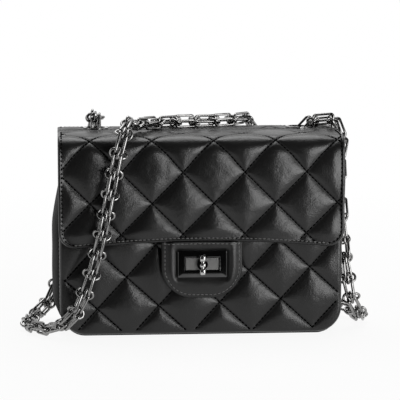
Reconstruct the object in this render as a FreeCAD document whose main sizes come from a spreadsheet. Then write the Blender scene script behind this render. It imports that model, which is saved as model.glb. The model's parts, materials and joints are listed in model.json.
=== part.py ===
import FreeCAD, Part
import math
import os
import re
import Sketcher

# Driving sizes in millimetres, with angles in degrees.
# The bag stands on Z = 0, faces -Y, and X runs along its width.
sizes = {
    # body shell
    "bag_width": 200,
    "body_depth": 62,
    "top_height": 143,
    "mouth_drop": 9,
    "panel_thick": 5,
    "panel_corner": 18,
    "panel_edge": 3,
    "panel_lift": 1,
    "gusset_inset": 2,
    "gusset_thick": 2.5,
    "gusset_corner": 16,
    "gusset_drop": 13,
    "board_length": 140,
    "board_thick": 1.5,
    # quilting of the padded leather
    "quilt_pitch": 43.4,
    "quilt_groove": 16,
    "quilt_depth": 2.4,
    "flap_quilt_drop": 25.9,
    "flap_quilt_shift": -13.3,
    "front_quilt_rise": 46.1,
    "front_quilt_shift": 33.8,
    "front_quilt_tilt": 2.6,
    "back_quilt_rise": 71,
    "lock_patch_margin": 2,
    # lining and pockets
    "lining_thick": 0.8,
    "lining_gap": 0.1,
    "soft_fit": 0.2,
    "binding_thick": 1,
    "binding_setback": 5,
    "slip_width": 116,
    "slip_bottom": 22,
    "slip_top": 96,
    "slip_thick": 1,
    "slip_corner": 6,
    "pouch_width": 140,
    "pouch_bottom": 30,
    "pouch_top": 116,
    "pouch_thick": 1,
    # zip of the inside pocket
    "zip_height": 104,
    "zip_length": 132,
    "zip_slot": 8,
    "tape_tail": 6,
    "tape_width": 9.8,
    "tape_thick": 0.6,
    "tape_parting": 2.4,
    "teeth_width": 4.8,
    "teeth_thick": 1.4,
    "stop_length": 1.6,
    "stop_width": 6,
    "slider_length": 9,
    "slider_width": 8.4,
    "slider_cap": 2.3,
    "slider_play": 0.3,
    "slider_setback": 8,
    "lug_thick": 1,
    "lug_width": 2.4,
    "lug_reach": 2.2,
    "zip_pin": 1.2,
    "zip_pin_reach": 1.4,
    "zip_pin_play": 0.1,
    "pull_thick": 1.5,
    "pull_eye_width": 3.8,
    "pull_eye_play": 0.2,
    "pull_width": 7,
    "pull_neck": 2.8,
    "pull_length": 22,
    # top yoke and grommets
    "yoke_depth": 25.7,
    "yoke_thick": 4,
    "yoke_edge": 1.8,
    "grommet_spacing": 146,
    "grommet_setback": 15.5,
    "grommet_bore": 13.5,
    "grommet_wall": 0.7,
    "grommet_flange": 18,
    "grommet_flange_thick": 1,
    "grommet_washer_thick": 0.8,
    "grommet_fit": 0.15,
    "end_bar": 1.2,
    "end_bar_length": 16,
    "end_bar_drop": 1.1,
    # flap and tab
    "flap_width": 201,
    "flap_thick": 5,
    "flap_lining_thick": 1,
    "flap_gap": 1.6,
    "flap_edge": 64,
    "flap_rise": 4.5,
    "flap_corner": 12,
    "flap_fold": 13,
    "flap_lining_ease": 1.5,
    "flap_lining_margin": 2,
    "flap_lining_setback": 4,
    "hinge_gap": 0.6,
    "tab_width": 57,
    "tab_thick": 3,
    "tab_bottom": 28,
    "tab_corner": 22,
    "tab_edge": 1.2,
    "tab_gap": 0.4,
    "tab_root": 10,
    "tab_lap": 4,
    "backing_thick": 0.4,
    "backing_margin": 1.5,
    # turn lock
    "lock_height": 52.4,
    "plate_width": 34.4,
    "plate_height": 18.8,
    "plate_thick": 2.4,
    "plate_corner": 1,
    "plate_edge": 0.5,
    "window_width": 24.5,
    "window_height": 10,
    "window_play": 0.8,
    "back_plate_thick": 0.8,
    "back_plate_margin": 0.7,
    "screw": 1.6,
    "screw_play": 0.2,
    "screw_bite": 0.9,
    "screw_inset": 2.5,
    "base_width": 30,
    "base_height": 15,
    "base_thick": 1,
    "base_corner": 2,
    "pedestal_recess": 2,
    "rivet": 1.6,
    "rivet_inset": 1.8,
    "post": 4.2,
    "post_play": 0.2,
    "post_hole_play": 0.8,
    "collar": 7.6,
    "collar_gap": 0.2,
    "base_washer_thick": 0.8,
    "clip": 8,
    "clip_thick": 0.6,
    "clip_gap": 0.1,
    "knob_gap": 1,
    "knob_width": 4.1,
    "knob_height": 14,
    "knob_thick": 4.4,
    "knob_edge": 1.2,
    "knob_groove": 0.6,
    "knob_groove_depth": 0.7,
    # chain strap
    "chain_wire": 1.2,
    "chain_pitch": 15,
    "ring_radius": 3.4,
    "ring_offset": 2.5,
    "ring_lean": 28,
    "link_half_width": 2.3,
    "link_roll": 60,
    "link_slack": 1.25,
    # shared
    "overrun": 1,
}
# Shares of the size that each one follows.
round_share = 0.48
knob_groove_share = 0.17

# Places worked out from the driving sizes.
places = {
    "half_width": "bag_width / 2",
    "rear_face": "body_depth / 2",
    "rear_inner": "rear_face - panel_thick",
    "front_face": "-body_depth / 2",
    "front_inner": "front_face + panel_thick",
    "back_height": "top_height - yoke_thick",
    "front_height": "top_height - mouth_drop",
    "gusset_height": "top_height - gusset_drop",
    "gusset_half": "half_width - gusset_inset",
    "lining_half": "gusset_half - gusset_thick - lining_gap",
    "lining_floor": "gusset_thick + board_thick",
    "lining_corner": "gusset_corner - gusset_thick - lining_gap",
    "wall_half": "lining_half - lining_thick - soft_fit",
    "wall_floor": "lining_floor + lining_thick + soft_fit",
    "wall_corner": "lining_corner - lining_thick - soft_fit",
    "front_wall": "front_inner + lining_thick",
    "back_wall_rear": "rear_inner - pouch_thick",
    "back_wall": "back_wall_rear - lining_thick",
    "tape_length": "zip_length + 2 * tape_tail",
    "tape_face": "back_wall - tape_thick",
    "teeth_face": "tape_face - teeth_thick",
    "slider_rest": "zip_length / 2 - slider_setback",
    "slider_face": "teeth_face - slider_play - slider_cap",
    "pin_line": "slider_face - zip_pin_reach",
    "lug_inside": "pull_eye_width / 2 + pull_eye_play",
    "yoke_front": "rear_face - yoke_depth",
    "grommet_line": "rear_face - grommet_setback",
    "grommet_outer": "grommet_bore / 2 + grommet_wall",
    "washer_floor": "back_height - grommet_washer_thick",
    "bar_line": "washer_floor - end_bar_drop - end_bar / 2",
    "flap_half": "flap_width / 2",
    "flap_rear": "yoke_front - hinge_gap",
    "flap_under": "top_height - flap_thick",
    "lining_under": "flap_under - flap_lining_thick",
    "lining_face": "front_face - flap_gap",
    "flap_back": "lining_face - flap_lining_thick",
    "flap_face": "flap_back - flap_thick",
    "flap_crown": "flap_edge + flap_rise",
    "flap_quilt_row": "top_height - flap_quilt_drop",
    "fold_height": "top_height - flap_fold",
    "fold_line": "flap_face + flap_fold",
    "fold_length": "flap_fold * pi / 2",
    "top_quilt_row": "fold_line + quilt_pitch - fold_length - (fold_height - flap_quilt_row)",
    "arch_chord": "flap_width - 2 * flap_corner",
    "arch_radius": "(arch_chord * arch_chord / 4 + flap_rise * flap_rise) / (2 * flap_rise)",
    "tab_top": "flap_crown - flap_rise / 2 - tab_gap",
    "strip_top": "flap_crown + tab_root",
    "strip_bottom": "tab_top - tab_lap",
    "tab_face": "flap_back - tab_thick",
    "backing_face": "flap_back + backing_thick",
    "back_plate_face": "backing_face + back_plate_thick",
    "plate_face": "tab_face - plate_thick",
    "base_face": "front_face - base_thick",
    "pedestal_face": "plate_face + pedestal_recess",
    "knob_back": "plate_face - knob_gap",
    "knob_face": "knob_back - knob_thick",
    "recess_depth": "base_washer_thick + clip_thick + 2 * clip_gap",
    "recess_floor": "front_inner - recess_depth",
    "screw_line": "plate_width / 2 - screw_inset",
    "rivet_line": "base_width / 2 - rivet_inset",
}

# Strap route from the left grommet to the right one: a point, then the way the strap faces there.
strap_route = [
    (-73.0, 15.5, 138.0, 0, -1, 0),
    (-73.0, 16.0, 151.6, 0, -0.85, 0.5),
    (-73.1, 29.5, 157.8, 0, 0, 1),
    (-74.5, 42.7, 151.4, 0, 0.85, 0.5),
    (-76.6, 46.3, 133.9, 0, 1, 0),
    (-80.5, 43.5, 108.0, 0, 1, 0),
    (-85.0, 43.5, 80.0, 0, 1, 0),
    (-92.0, 43.5, 52.0, 0, 1, 0),
    (-101.0, 42.0, 26.0, 0, 1, -0.3),
    (-111.0, 33.0, 9.0, 0, 0.4, -1),
    (-121.0, 16.0, 5.0, 0, 0, -1),
    (-123.0, -6.0, 5.0, 0, 0, -1),
    (-114.0, -27.0, 5.5, 0, -0.3, -1),
    (-98.5, -40.0, 9.0, 0, -0.8, -0.8),
    (-87.5, -43.0, 21.0, 0, -1, -0.3),
    (-81.0, -42.0, 36.0, 0, -1, 0),
    (-74.5, -42.0, 57.0, 0, -1, 0),
    (-69.3, -45.0, 79.0, 0, -1, 0),
    (-65.0, -45.4, 101.0, 0, -1, 0),
    (-60.5, -45.4, 123.0, 0, -1, 0),
    (-56.0, -44.0, 143.0, 0, -1, 0.5),
    (-51.0, -31.0, 152.0, 0, -0.2, 1),
    (-45.0, -11.0, 148.4, 0, 0, 1),
    (-33.0, 7.0, 147.8, 0, 0, 1),
    (-13.0, 17.5, 147.8, 0, 0, 1),
    (8.0, 20.0, 147.8, 0, 0, 1),
    (24.0, 25.0, 149.0, 0.1, 0.1, 1),
    (35.0, 35.0, 151.6, 0.2, 0.3, 0.9),
    (42.0, 44.5, 144.5, 0.5, 0.7, 0.6),
    (46.0, 47.0, 129.0, 0.4, 0.9, 0.1),
    (54.0, 44.5, 106.0, 0.1, 1, 0),
    (64.0, 43.5, 80.0, 0, 1, 0),
    (76.0, 43.5, 52.0, 0, 1, 0),
    (102.5, 36.2, 8.4, -0.05, 0.47, -1.04),
    (117.6, 22.6, 5.3, -0.09, 0.21, -1.07),
    (118.8, 0.4, 5.9, 0.14, -0.41, -1.1),
    (112.9, -11.5, 17.7, -0.2, -1.14, -0.49),
    (107.4, -11.6, 42.0, 0.2, -1, 0),
    (106.0, -7.0, 66.0, 0.5, -0.9, 0),
    (106.0, 0.0, 92.0, 0.8, -0.6, 0),
    (106.0, 9.0, 118.0, 1, -0.2, 0),
    (105.8, 14.5, 142.5, 1, 0, 0.3),
    (95.0, 15.5, 154.0, 0.2, 0, 1),
    (82.0, 15.6, 155.0, -0.3, 0, 1),
    (73.4, 15.5, 150.0, -0.9, 0, 0.5),
    (73.0, 15.5, 138.0, -1, 0, 0),
]
# Places on the route where the strap's nodes divide: behind the left end, and behind the fall.
strap_split_share = (0.085, 0.62)
arc_share = 0.45
route_steps = 25
pitch_ease_share = 0.97
halvings = 40

doc = FreeCAD.newDocument("chain_bag")
dims = doc.addObject("Spreadsheet::Sheet", "dims")
for row, (alias, number) in enumerate(sizes.items(), start=1):
    dims.set(f"A{row}", alias)
    dims.set(f"B{row}", str(number))
    dims.setAlias(f"B{row}", alias)
doc.recompute()

touch = 1e-4
subparts = []


def expand(text):
    def swap(match):
        word = match.group(0)
        if word in places:
            return "(" + expand(places[word]) + ")"
        return "dims." + word if word in sizes else word

    return re.sub(r"[a-z_]+", swap, text)


def bind(target, name, text):
    target.setExpression(name, expand(text))


def amount(text):
    return float(dims.evalExpression(expand(text)))


def new_body(label):
    body = doc.addObject("PartDesign::Body", label)
    body.Label = label
    subparts.append(body)
    return body


def place(target, x, y, z):
    for axis, text in zip("xyz", (x, y, z)):
        bind(target, f"Placement.Base.{axis}", text)


# A sketch on one of the body's own planes, moved along that plane's normal.
def new_sketch(body, plane, offset):
    sketch = body.newObject("Sketcher::SketchObject", body.Label + "_sketch")
    support = [face for face in body.Origin.OriginFeatures if face.Role == plane]
    sketch.AttachmentSupport = [(support[0], "")]
    sketch.MapMode = "FlatFace"
    bind(sketch, "AttachmentOffset.Base.z", offset)
    return sketch


def fix(sketch, kind, index, point, text):
    constraint = Sketcher.Constraint(kind, -1, 1, index, point, amount(text))
    number = sketch.addConstraint(constraint)
    bind(sketch, f"Constraints[{number}]", text)


def draw_polygon(sketch, corners):
    spots = [FreeCAD.Vector(amount(u), amount(v), 0) for u, v in corners]
    first = sketch.GeometryCount
    count = len(corners)
    for index in range(count):
        sketch.addGeometry(Part.LineSegment(spots[index], spots[(index + 1) % count]), False)
    for index in range(count):
        following = first + (index + 1) % count
        sketch.addConstraint(Sketcher.Constraint("Coincident", first + index, 2, following, 1))
    for index, (u, v) in enumerate(corners):
        fix(sketch, "DistanceX", first + index, 1, u)
        fix(sketch, "DistanceY", first + index, 1, v)


def draw_circle(sketch, u, v, radius):
    centre = FreeCAD.Vector(amount(u), amount(v), 0)
    index = sketch.addGeometry(Part.Circle(centre, FreeCAD.Vector(0, 0, 1), amount(radius)), False)
    fix(sketch, "DistanceX", index, 3, u)
    fix(sketch, "DistanceY", index, 3, v)
    number = sketch.addConstraint(Sketcher.Constraint("Radius", index, amount(radius)))
    bind(sketch, f"Constraints[{number}]", radius)


def rectangle(u_low, u_high, v_low, v_high):
    return [(u_low, v_low), (u_high, v_low), (u_high, v_high), (u_low, v_high)]


def centred(half, v_low, v_high):
    return rectangle(f"-({half})", half, v_low, v_high)


planes = {"front": "XZ_Plane", "side": "YZ_Plane", "plan": "XY_Plane"}


# Adds a slab from low to high along the view's axis; a front view's sketch faces -Y.
def add_slab(body, view, corners, low, high):
    start = f"-({high})" if view == "front" else low
    sketch = new_sketch(body, planes[view], start)
    draw_polygon(sketch, corners)
    slab = body.newObject("PartDesign::Pad", body.Label + "_pad")
    slab.Profile = sketch
    bind(slab, "Length", f"({high}) - ({low})")
    doc.recompute()
    return slab


# Cuts polygons or circles from low to high along the view's axis.
def cut(body, view, low, high, corners=None, circles=()):
    before = body.Shape.Volume
    start = f"-({low})" if view == "front" else high
    sketch = new_sketch(body, planes[view], start)
    if corners:
        draw_polygon(sketch, corners)
    for u, v, radius in circles:
        draw_circle(sketch, u, v, radius)
    pocket = body.newObject("PartDesign::Pocket", body.Label + "_cut")
    pocket.Profile = sketch
    bind(pocket, "Length", f"({high}) - ({low})")
    doc.recompute()
    if body.Shape.Volume > before - touch:
        raise RuntimeError("nothing was cut from " + body.Label)


def lies_at(edge, axis, text):
    low = getattr(edge.BoundBox, axis + "Min")
    high = getattr(edge.BoundBox, axis + "Max")
    goal = amount(text)
    return abs(low - goal) < touch and abs(high - goal) < touch


def round_edges(body, radius, test):
    tip = body.Tip
    names = [f"Edge{n}" for n, edge in enumerate(tip.Shape.Edges, start=1) if test(edge)]
    fillet = body.newObject("PartDesign::Fillet", body.Label + "_fillet")
    fillet.Base = (tip, names)
    bind(fillet, "Radius", radius)
    doc.recompute()


# Rounds the edges along Y at both ends of a width, at one height.
def round_corners(body, radius, half, height):
    def test(edge):
        sides = (half, f"-({half})")
        return lies_at(edge, "Z", height) and any(lies_at(edge, "X", side) for side in sides)

    round_edges(body, radius, test)


full_turn = 360


# A turned piece about its own Z axis, from a profile of radius and height.
def turned(label, profile, x, y, z):
    body = new_body(label)
    sketch = new_sketch(body, planes["front"], "0")
    draw_polygon(sketch, profile)
    turn = body.newObject("PartDesign::Revolution", label + "_turn")
    turn.Profile = sketch
    turn.ReferenceAxis = (sketch, ["V_Axis"])
    turn.Angle = full_turn
    doc.recompute()
    place(body, x, y, z)


quarter_turn = 90
directions = {
    "front": FreeCAD.Rotation(FreeCAD.Vector(1, 0, 0), quarter_turn),
    "right": FreeCAD.Rotation(FreeCAD.Vector(0, 1, 0), quarter_turn),
    "back": FreeCAD.Rotation(FreeCAD.Vector(1, 0, 0), -quarter_turn),
}


def rod(label, radius, length, way, x, y, z):
    cylinder = doc.addObject("Part::Cylinder", label)
    cylinder.Label = label
    bind(cylinder, "Radius", radius)
    bind(cylinder, "Height", length)
    cylinder.Placement = FreeCAD.Placement(FreeCAD.Vector(0, 0, 0), directions[way])
    place(cylinder, x, y, z)
    return cylinder


def group(label, members):
    compound = doc.addObject("Part::Compound", label)
    compound.Label = label
    compound.Links = members
    subparts.append(compound)


# V-shaped seams along both diagonals of a padded face, through a row of points one pitch apart.
def seam_tools(shape, start, row_way, out_way):
    pitch = amount("quilt_pitch")
    depth = amount("quilt_depth")
    overrun = amount("overrun")
    half = amount("quilt_groove") / 2 * (depth + overrun) / depth
    centre = shape.BoundBox.Center
    length = shape.BoundBox.DiagonalLength
    up_way = out_way.cross(row_way)
    count = math.ceil(length / pitch)
    tools = []
    for turn in (1, -1):
        along = (row_way + up_way * turn).normalize()
        across = out_way.cross(along)
        for number in range(-count, count + 1):
            middle = start + row_way * (number * pitch)
            if abs((centre - middle).dot(across)) > length / 2:
                continue
            end = middle + along * ((centre - middle).dot(along) - length)
            low = end - out_way * depth
            left = end + out_way * overrun - across * half
            right = end + out_way * overrun + across * half
            section = Part.Face(Part.makePolygon([low, right, left, low]))
            tools.append(section.extrude(along * (2 * length)))
    return tools


# The padded solid with its seams pressed in takes the place of the plain one.
def quilted(label, plain, tools):
    doc.recompute()
    feature = doc.addObject("Part::Feature", label)
    feature.Label = label
    feature.Shape = plain.Shape.cut(tools)
    subparts[subparts.index(plain)] = feature


rightward = FreeCAD.Vector(1, 0, 0)
rearward = FreeCAD.Vector(0, 1, 0)
upward = FreeCAD.Vector(0, 0, 1)


# Body shell: two padded panels, and one strip round the sides and the bottom.
def front_panel():
    body = new_body("front_panel_plain")
    outline = centred("half_width", "panel_lift", "front_height")
    add_slab(body, "front", outline, "front_face", "front_inner")
    round_corners(body, "panel_corner", "half_width", "panel_lift")
    round_edges(body, "panel_edge", lambda edge: lies_at(edge, "Y", "front_face"))
    washer_space = centred(
        "base_width / 2 + soft_fit",
        "lock_height - base_height / 2 - soft_fit",
        "lock_height + base_height / 2 + soft_fit",
    )
    cut(body, "front", "recess_floor", "front_inner", washer_space)
    holes = [("0", "lock_height", "post / 2 + post_hole_play")]
    holes += [(f"{side} * rivet_line", "lock_height", "rivet / 2 + screw_play") for side in (-1, 1)]
    cut(body, "front", "front_face - overrun", "recess_floor + overrun", circles=holes)
    tilt = math.radians(amount("front_quilt_tilt"))
    row_way = rightward * math.cos(tilt) + upward * math.sin(tilt)
    start = FreeCAD.Vector(amount("front_quilt_shift"), amount("front_face"), amount("front_quilt_rise"))
    patch_width = amount("base_width + 2 * lock_patch_margin")
    patch_height = amount("base_height + 2 * lock_patch_margin")
    corner = FreeCAD.Vector(-patch_width / 2, amount("front_face - panel_thick"), amount("lock_height"))
    corner -= upward * (patch_height / 2)
    patch = Part.makeBox(patch_width, amount("2 * panel_thick"), patch_height, corner)
    tools = seam_tools(body.Shape, start, row_way, -rearward)
    quilted("front_panel", body, [tool.cut(patch) for tool in tools])


def back_panel():
    body = new_body("back_panel_plain")
    outline = centred("half_width", "panel_lift", "back_height")
    add_slab(body, "front", outline, "rear_inner", "rear_face")
    round_corners(body, "panel_corner", "half_width", "panel_lift")

    def seam(edge):
        return lies_at(edge, "Y", "rear_face") and not lies_at(edge, "Z", "back_height")

    round_edges(body, "panel_edge", seam)
    start = FreeCAD.Vector(0, amount("rear_face"), amount("back_quilt_rise"))
    quilted("back_panel", body, seam_tools(body.Shape, start, -rightward, rearward))


def strip_outline(half, thick, floor, top):
    inner = f"{half} - {thick}"
    return [
        (f"-({half})", top),
        (f"-({half})", floor),
        (half, floor),
        (half, top),
        (inner, top),
        (inner, f"{floor} + {thick}"),
        (f"-({inner})", f"{floor} + {thick}"),
        (f"-({inner})", top),
    ]


def wrapped_strip(label, half, thick, floor, corner):
    body = new_body(label)
    outline = strip_outline(half, thick, floor, "gusset_height")
    add_slab(body, "front", outline, "front_inner", "rear_inner")
    round_corners(body, corner, half, floor)
    round_corners(body, f"{corner} - {thick}", f"{half} - {thick}", f"{floor} + {thick}")


def base_board():
    body = new_body("base_board")
    outline = centred("board_length / 2", "gusset_thick", "lining_floor")
    add_slab(body, "front", outline, "front_inner + soft_fit", "rear_inner - soft_fit")


# Lining walls, mouth binding and the two inside pockets.
def lining_walls():
    front = new_body("lining_front")
    outline = centred("wall_half", "wall_floor", "front_height")
    add_slab(front, "front", outline, "front_inner", "front_wall")
    round_corners(front, "wall_corner", "wall_half", "wall_floor")
    back = new_body("lining_back")
    outline = centred("wall_half", "wall_floor", "washer_floor - soft_fit")
    add_slab(back, "front", outline, "back_wall", "back_wall_rear")
    round_corners(back, "wall_corner", "wall_half", "wall_floor")
    slot = centred("zip_length / 2", "zip_height - zip_slot / 2", "zip_height + zip_slot / 2")
    cut(back, "front", "back_wall - overrun", "back_wall_rear + overrun", slot)


def mouth_binding():
    body = new_body("mouth_binding")
    outline = centred("half_width - binding_setback", "front_height", "front_height + binding_thick")
    add_slab(body, "front", outline, "front_face + panel_edge", "front_wall")


def inside_pockets():
    slip = new_body("slip_pocket")
    outline = centred("slip_width / 2", "slip_bottom", "slip_top")
    add_slab(slip, "front", outline, "front_wall", "front_wall + slip_thick")
    round_corners(slip, "slip_corner", "slip_width / 2", "slip_bottom")
    pouch = new_body("zip_pouch")
    outline = centred("pouch_width / 2", "pouch_bottom", "pouch_top")
    add_slab(pouch, "front", outline, "back_wall_rear", "rear_inner")
    round_corners(pouch, "slip_corner", "pouch_width / 2", "pouch_bottom")


def zip_fastener():
    low_edge = "zip_height - tape_parting / 2"
    high_edge = "zip_height + tape_parting / 2"
    lower = centred("tape_length / 2", f"{low_edge} - tape_width", low_edge)
    upper = centred("tape_length / 2", high_edge, f"{high_edge} + tape_width")
    for label, outline in (("zip_tape_lower", lower), ("zip_tape_upper", upper)):
        add_slab(new_body(label), "front", outline, "tape_face", "back_wall")
    teeth = centred("zip_length / 2", "zip_height - teeth_width / 2", "zip_height + teeth_width / 2")
    add_slab(new_body("zip_teeth"), "front", teeth, "teeth_face", "tape_face")
    stops = []
    for name, inner in (("left_stop", "-zip_length / 2 - stop_length"), ("right_stop", "zip_length / 2")):
        stop = doc.addObject("Part::Box", name)
        bind(stop, "Length", "stop_length")
        bind(stop, "Width", "teeth_thick")
        bind(stop, "Height", "stop_width")
        place(stop, inner, "teeth_face", "zip_height - stop_width / 2")
        stops.append(stop)
    group("zip_stops", stops)


# The slider is a cap with a channel over the teeth and two lugs that hold the pull's pin.
def zip_slider():
    body = new_body("zip_slider_body")
    middle = "-slider_rest"
    left = f"{middle} - slider_length / 2"
    right = f"{middle} + slider_length / 2"
    block = [
        ("slider_face", "zip_height - slider_width / 2"),
        ("tape_face - slider_play", "zip_height - slider_width / 2"),
        ("tape_face - slider_play", "zip_height - teeth_width / 2 - slider_play"),
        ("teeth_face - slider_play", "zip_height - teeth_width / 2 - slider_play"),
        ("teeth_face - slider_play", "zip_height + teeth_width / 2 + slider_play"),
        ("tape_face - slider_play", "zip_height + teeth_width / 2 + slider_play"),
        ("tape_face - slider_play", "zip_height + slider_width / 2"),
        ("slider_face", "zip_height + slider_width / 2"),
    ]
    add_slab(body, "side", block, left, right)
    lug_low, lug_high = "zip_height - lug_width / 2", "zip_height + lug_width / 2"
    lug = rectangle("slider_face - lug_reach", "slider_face", lug_low, lug_high)
    add_slab(body, "side", lug, f"{middle} + lug_inside", f"{middle} + lug_inside + lug_thick")
    add_slab(body, "side", lug, f"{middle} - lug_inside - lug_thick", f"{middle} - lug_inside")
    bore = [("pin_line", "zip_height", "zip_pin / 2")]
    cut(body, "side", left, right, circles=bore)
    pin_length = "2 * lug_inside + 2 * lug_thick"
    pin_start = f"{middle} - lug_inside - lug_thick"
    pin = rod("zip_pin", "zip_pin / 2", pin_length, "right", pin_start, "pin_line", "zip_height")
    subparts.append(pin)


def zip_pull():
    body = new_body("zip_pull")
    middle = "-slider_rest"
    eye = f"{middle} + pull_eye_width / 2"
    wide = f"{middle} + pull_width / 2"
    shoulder = "zip_height - pull_neck"
    outline = [
        (f"{middle} - pull_eye_width / 2", "zip_height + pull_thick / 2"),
        (f"{middle} - pull_eye_width / 2", shoulder),
        (f"{middle} - pull_width / 2", shoulder),
        (f"{middle} - pull_width / 2", "zip_height - pull_length"),
        (wide, "zip_height - pull_length"),
        (wide, shoulder),
        (eye, shoulder),
        (eye, "zip_height + pull_thick / 2"),
    ]
    add_slab(body, "front", outline, "pin_line - pull_thick / 2", "pin_line + pull_thick / 2")
    bore = [("pin_line", "zip_height", "zip_pin / 2 + zip_pin_play")]
    cut(body, "side", f"{middle} - pull_width", f"{middle} + pull_width", circles=bore)


# The fixed strip of the top, the two grommets and the bars that stop the strap's ends.
def top_yoke():
    body = new_body("top_yoke")
    add_slab(body, "plan", centred("flap_half", "yoke_front", "rear_face"), "back_height", "top_height")

    def rear_edge(edge):
        return lies_at(edge, "Y", "rear_face") and lies_at(edge, "Z", "top_height")

    round_edges(body, "yoke_edge", rear_edge)
    holes = [
        (f"{side} * grommet_spacing / 2", "grommet_line", "grommet_outer + grommet_fit") for side in (-1, 1)
    ]
    cut(body, "plan", "back_height - overrun", "top_height + overrun", circles=holes)


def grommet(side_name, side):
    x = f"{side} * grommet_spacing / 2"
    eyelet = [
        ("grommet_bore / 2", "washer_floor"),
        ("grommet_outer", "washer_floor"),
        ("grommet_outer", "top_height"),
        ("grommet_flange / 2", "top_height"),
        ("grommet_flange / 2", "top_height + grommet_flange_thick"),
        ("grommet_bore / 2", "top_height + grommet_flange_thick"),
    ]
    turned(side_name + "_grommet", eyelet, x, "grommet_line", "0")
    washer = rectangle("grommet_outer + grommet_fit", "grommet_flange / 2", "washer_floor", "back_height")
    turned(side_name + "_grommet_washer", washer, x, "grommet_line", "0")


# Two short bars at each end, one through each ring of the last pair.
def end_bars():
    half = "end_bar_length / 2"
    bars = []
    for side in (-1, 1):
        x = f"-grommet_spacing / 2 + {side} * ring_offset"
        y = f"grommet_line + {half}"
        bars.append(rod("left_end_bar", "end_bar / 2", "end_bar_length", "front", x, y, "bar_line"))
        x = f"grommet_spacing / 2 - {half}"
        y = f"grommet_line + {side} * ring_offset"
        bars.append(rod("right_end_bar", "end_bar / 2", "end_bar_length", "right", x, y, "bar_line"))
    group("strap_end_bars", bars)


# Flap: an angled slab that turns about its rear edge, arched along its lower edge.
def flap_layer(label, half, rear, top, under, face, back, edge, fold):
    body = new_body(label)
    profile = [(rear, top), (face, top), (face, edge), (back, edge), (back, under), (rear, under)]
    add_slab(body, "side", profile, f"-({half})", half)
    round_edges(body, fold, lambda line: lies_at(line, "Y", face) and lies_at(line, "Z", top))
    inner_fold = f"{fold} - ({top} - ({under}))"
    round_edges(body, inner_fold, lambda line: lies_at(line, "Y", back) and lies_at(line, "Z", under))
    round_corners(body, "flap_corner", half, edge)
    arch = [("0", f"{edge} + flap_rise - arch_radius", "arch_radius")]
    cut(body, "front", f"{face} - overrun", f"{back} + overrun", circles=arch)
    return body


def flap_outer():
    body = flap_layer(
        "flap_outer_plain",
        "flap_half",
        "flap_rear",
        "top_height",
        "flap_under",
        "flap_face",
        "flap_back",
        "flap_edge",
        "flap_fold",
    )

    def rear_edge(edge):
        return lies_at(edge, "Y", "flap_rear") and edge.BoundBox.XLength > touch

    round_edges(body, f"flap_thick * {round_share}", rear_edge)
    shift = amount("flap_quilt_shift")
    drop_start = FreeCAD.Vector(shift, amount("flap_face"), amount("flap_quilt_row"))
    top_start = FreeCAD.Vector(shift, amount("top_quilt_row"), amount("top_height"))
    tools = seam_tools(body.Shape, drop_start, rightward, -rearward)
    tools += seam_tools(body.Shape, top_start, rightward, upward)
    quilted("flap_outer", body, tools)


def flap_lining():
    body = flap_layer(
        "flap_lining",
        "flap_half - flap_lining_margin",
        "flap_rear - flap_lining_setback",
        "flap_under",
        "lining_under",
        "flap_back",
        "lining_face",
        "flap_edge + flap_lining_margin",
        "flap_fold - flap_thick + flap_lining_ease",
    )
    notch = centred("tab_width / 2 + soft_fit", "flap_edge", "strip_top + soft_fit")
    cut(body, "front", "flap_back - overrun", "lining_face + overrun", notch)


# Window through a layer of the tab, with holes for the two plate screws.
def open_tab(body, low, high, grow, hole):
    window = centred(
        f"window_width / 2 + {grow}",
        f"lock_height - window_height / 2 - {grow}",
        f"lock_height + window_height / 2 + {grow}",
    )
    cut(body, "front", low, high, window)
    return [(f"{side} * screw_line", "lock_height", hole) for side in (-1, 1)]


def flap_tab():
    body = new_body("flap_tab")
    add_slab(body, "front", centred("tab_width / 2", "tab_bottom", "tab_top"), "tab_face", "flap_back")
    round_corners(body, "tab_corner", "tab_width / 2", "tab_bottom")

    def rim(edge):
        return lies_at(edge, "Y", "tab_face") and not lies_at(edge, "Z", "tab_top")

    round_edges(body, "tab_edge", rim)
    strip = centred("tab_width / 2", "strip_bottom", "strip_top")
    add_slab(body, "front", strip, "flap_back", "lining_face")
    low, high = "tab_face - overrun", "flap_back + overrun"
    holes = open_tab(body, low, high, "window_play", "screw / 2 + screw_play")
    cut(body, "front", low, high, circles=holes)


def tab_backing():
    body = new_body("tab_backing")
    half = "tab_width / 2 - backing_margin"
    bottom = "tab_bottom + backing_margin"
    outline = centred(half, bottom, "strip_bottom - soft_fit")
    add_slab(body, "front", outline, "flap_back", "backing_face")
    round_corners(body, "tab_corner - backing_margin", half, bottom)
    low, high = "flap_back - overrun", "backing_face + overrun"
    holes = open_tab(body, low, high, "window_play", "screw / 2 + screw_play")
    cut(body, "front", low, high, circles=holes)


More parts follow.
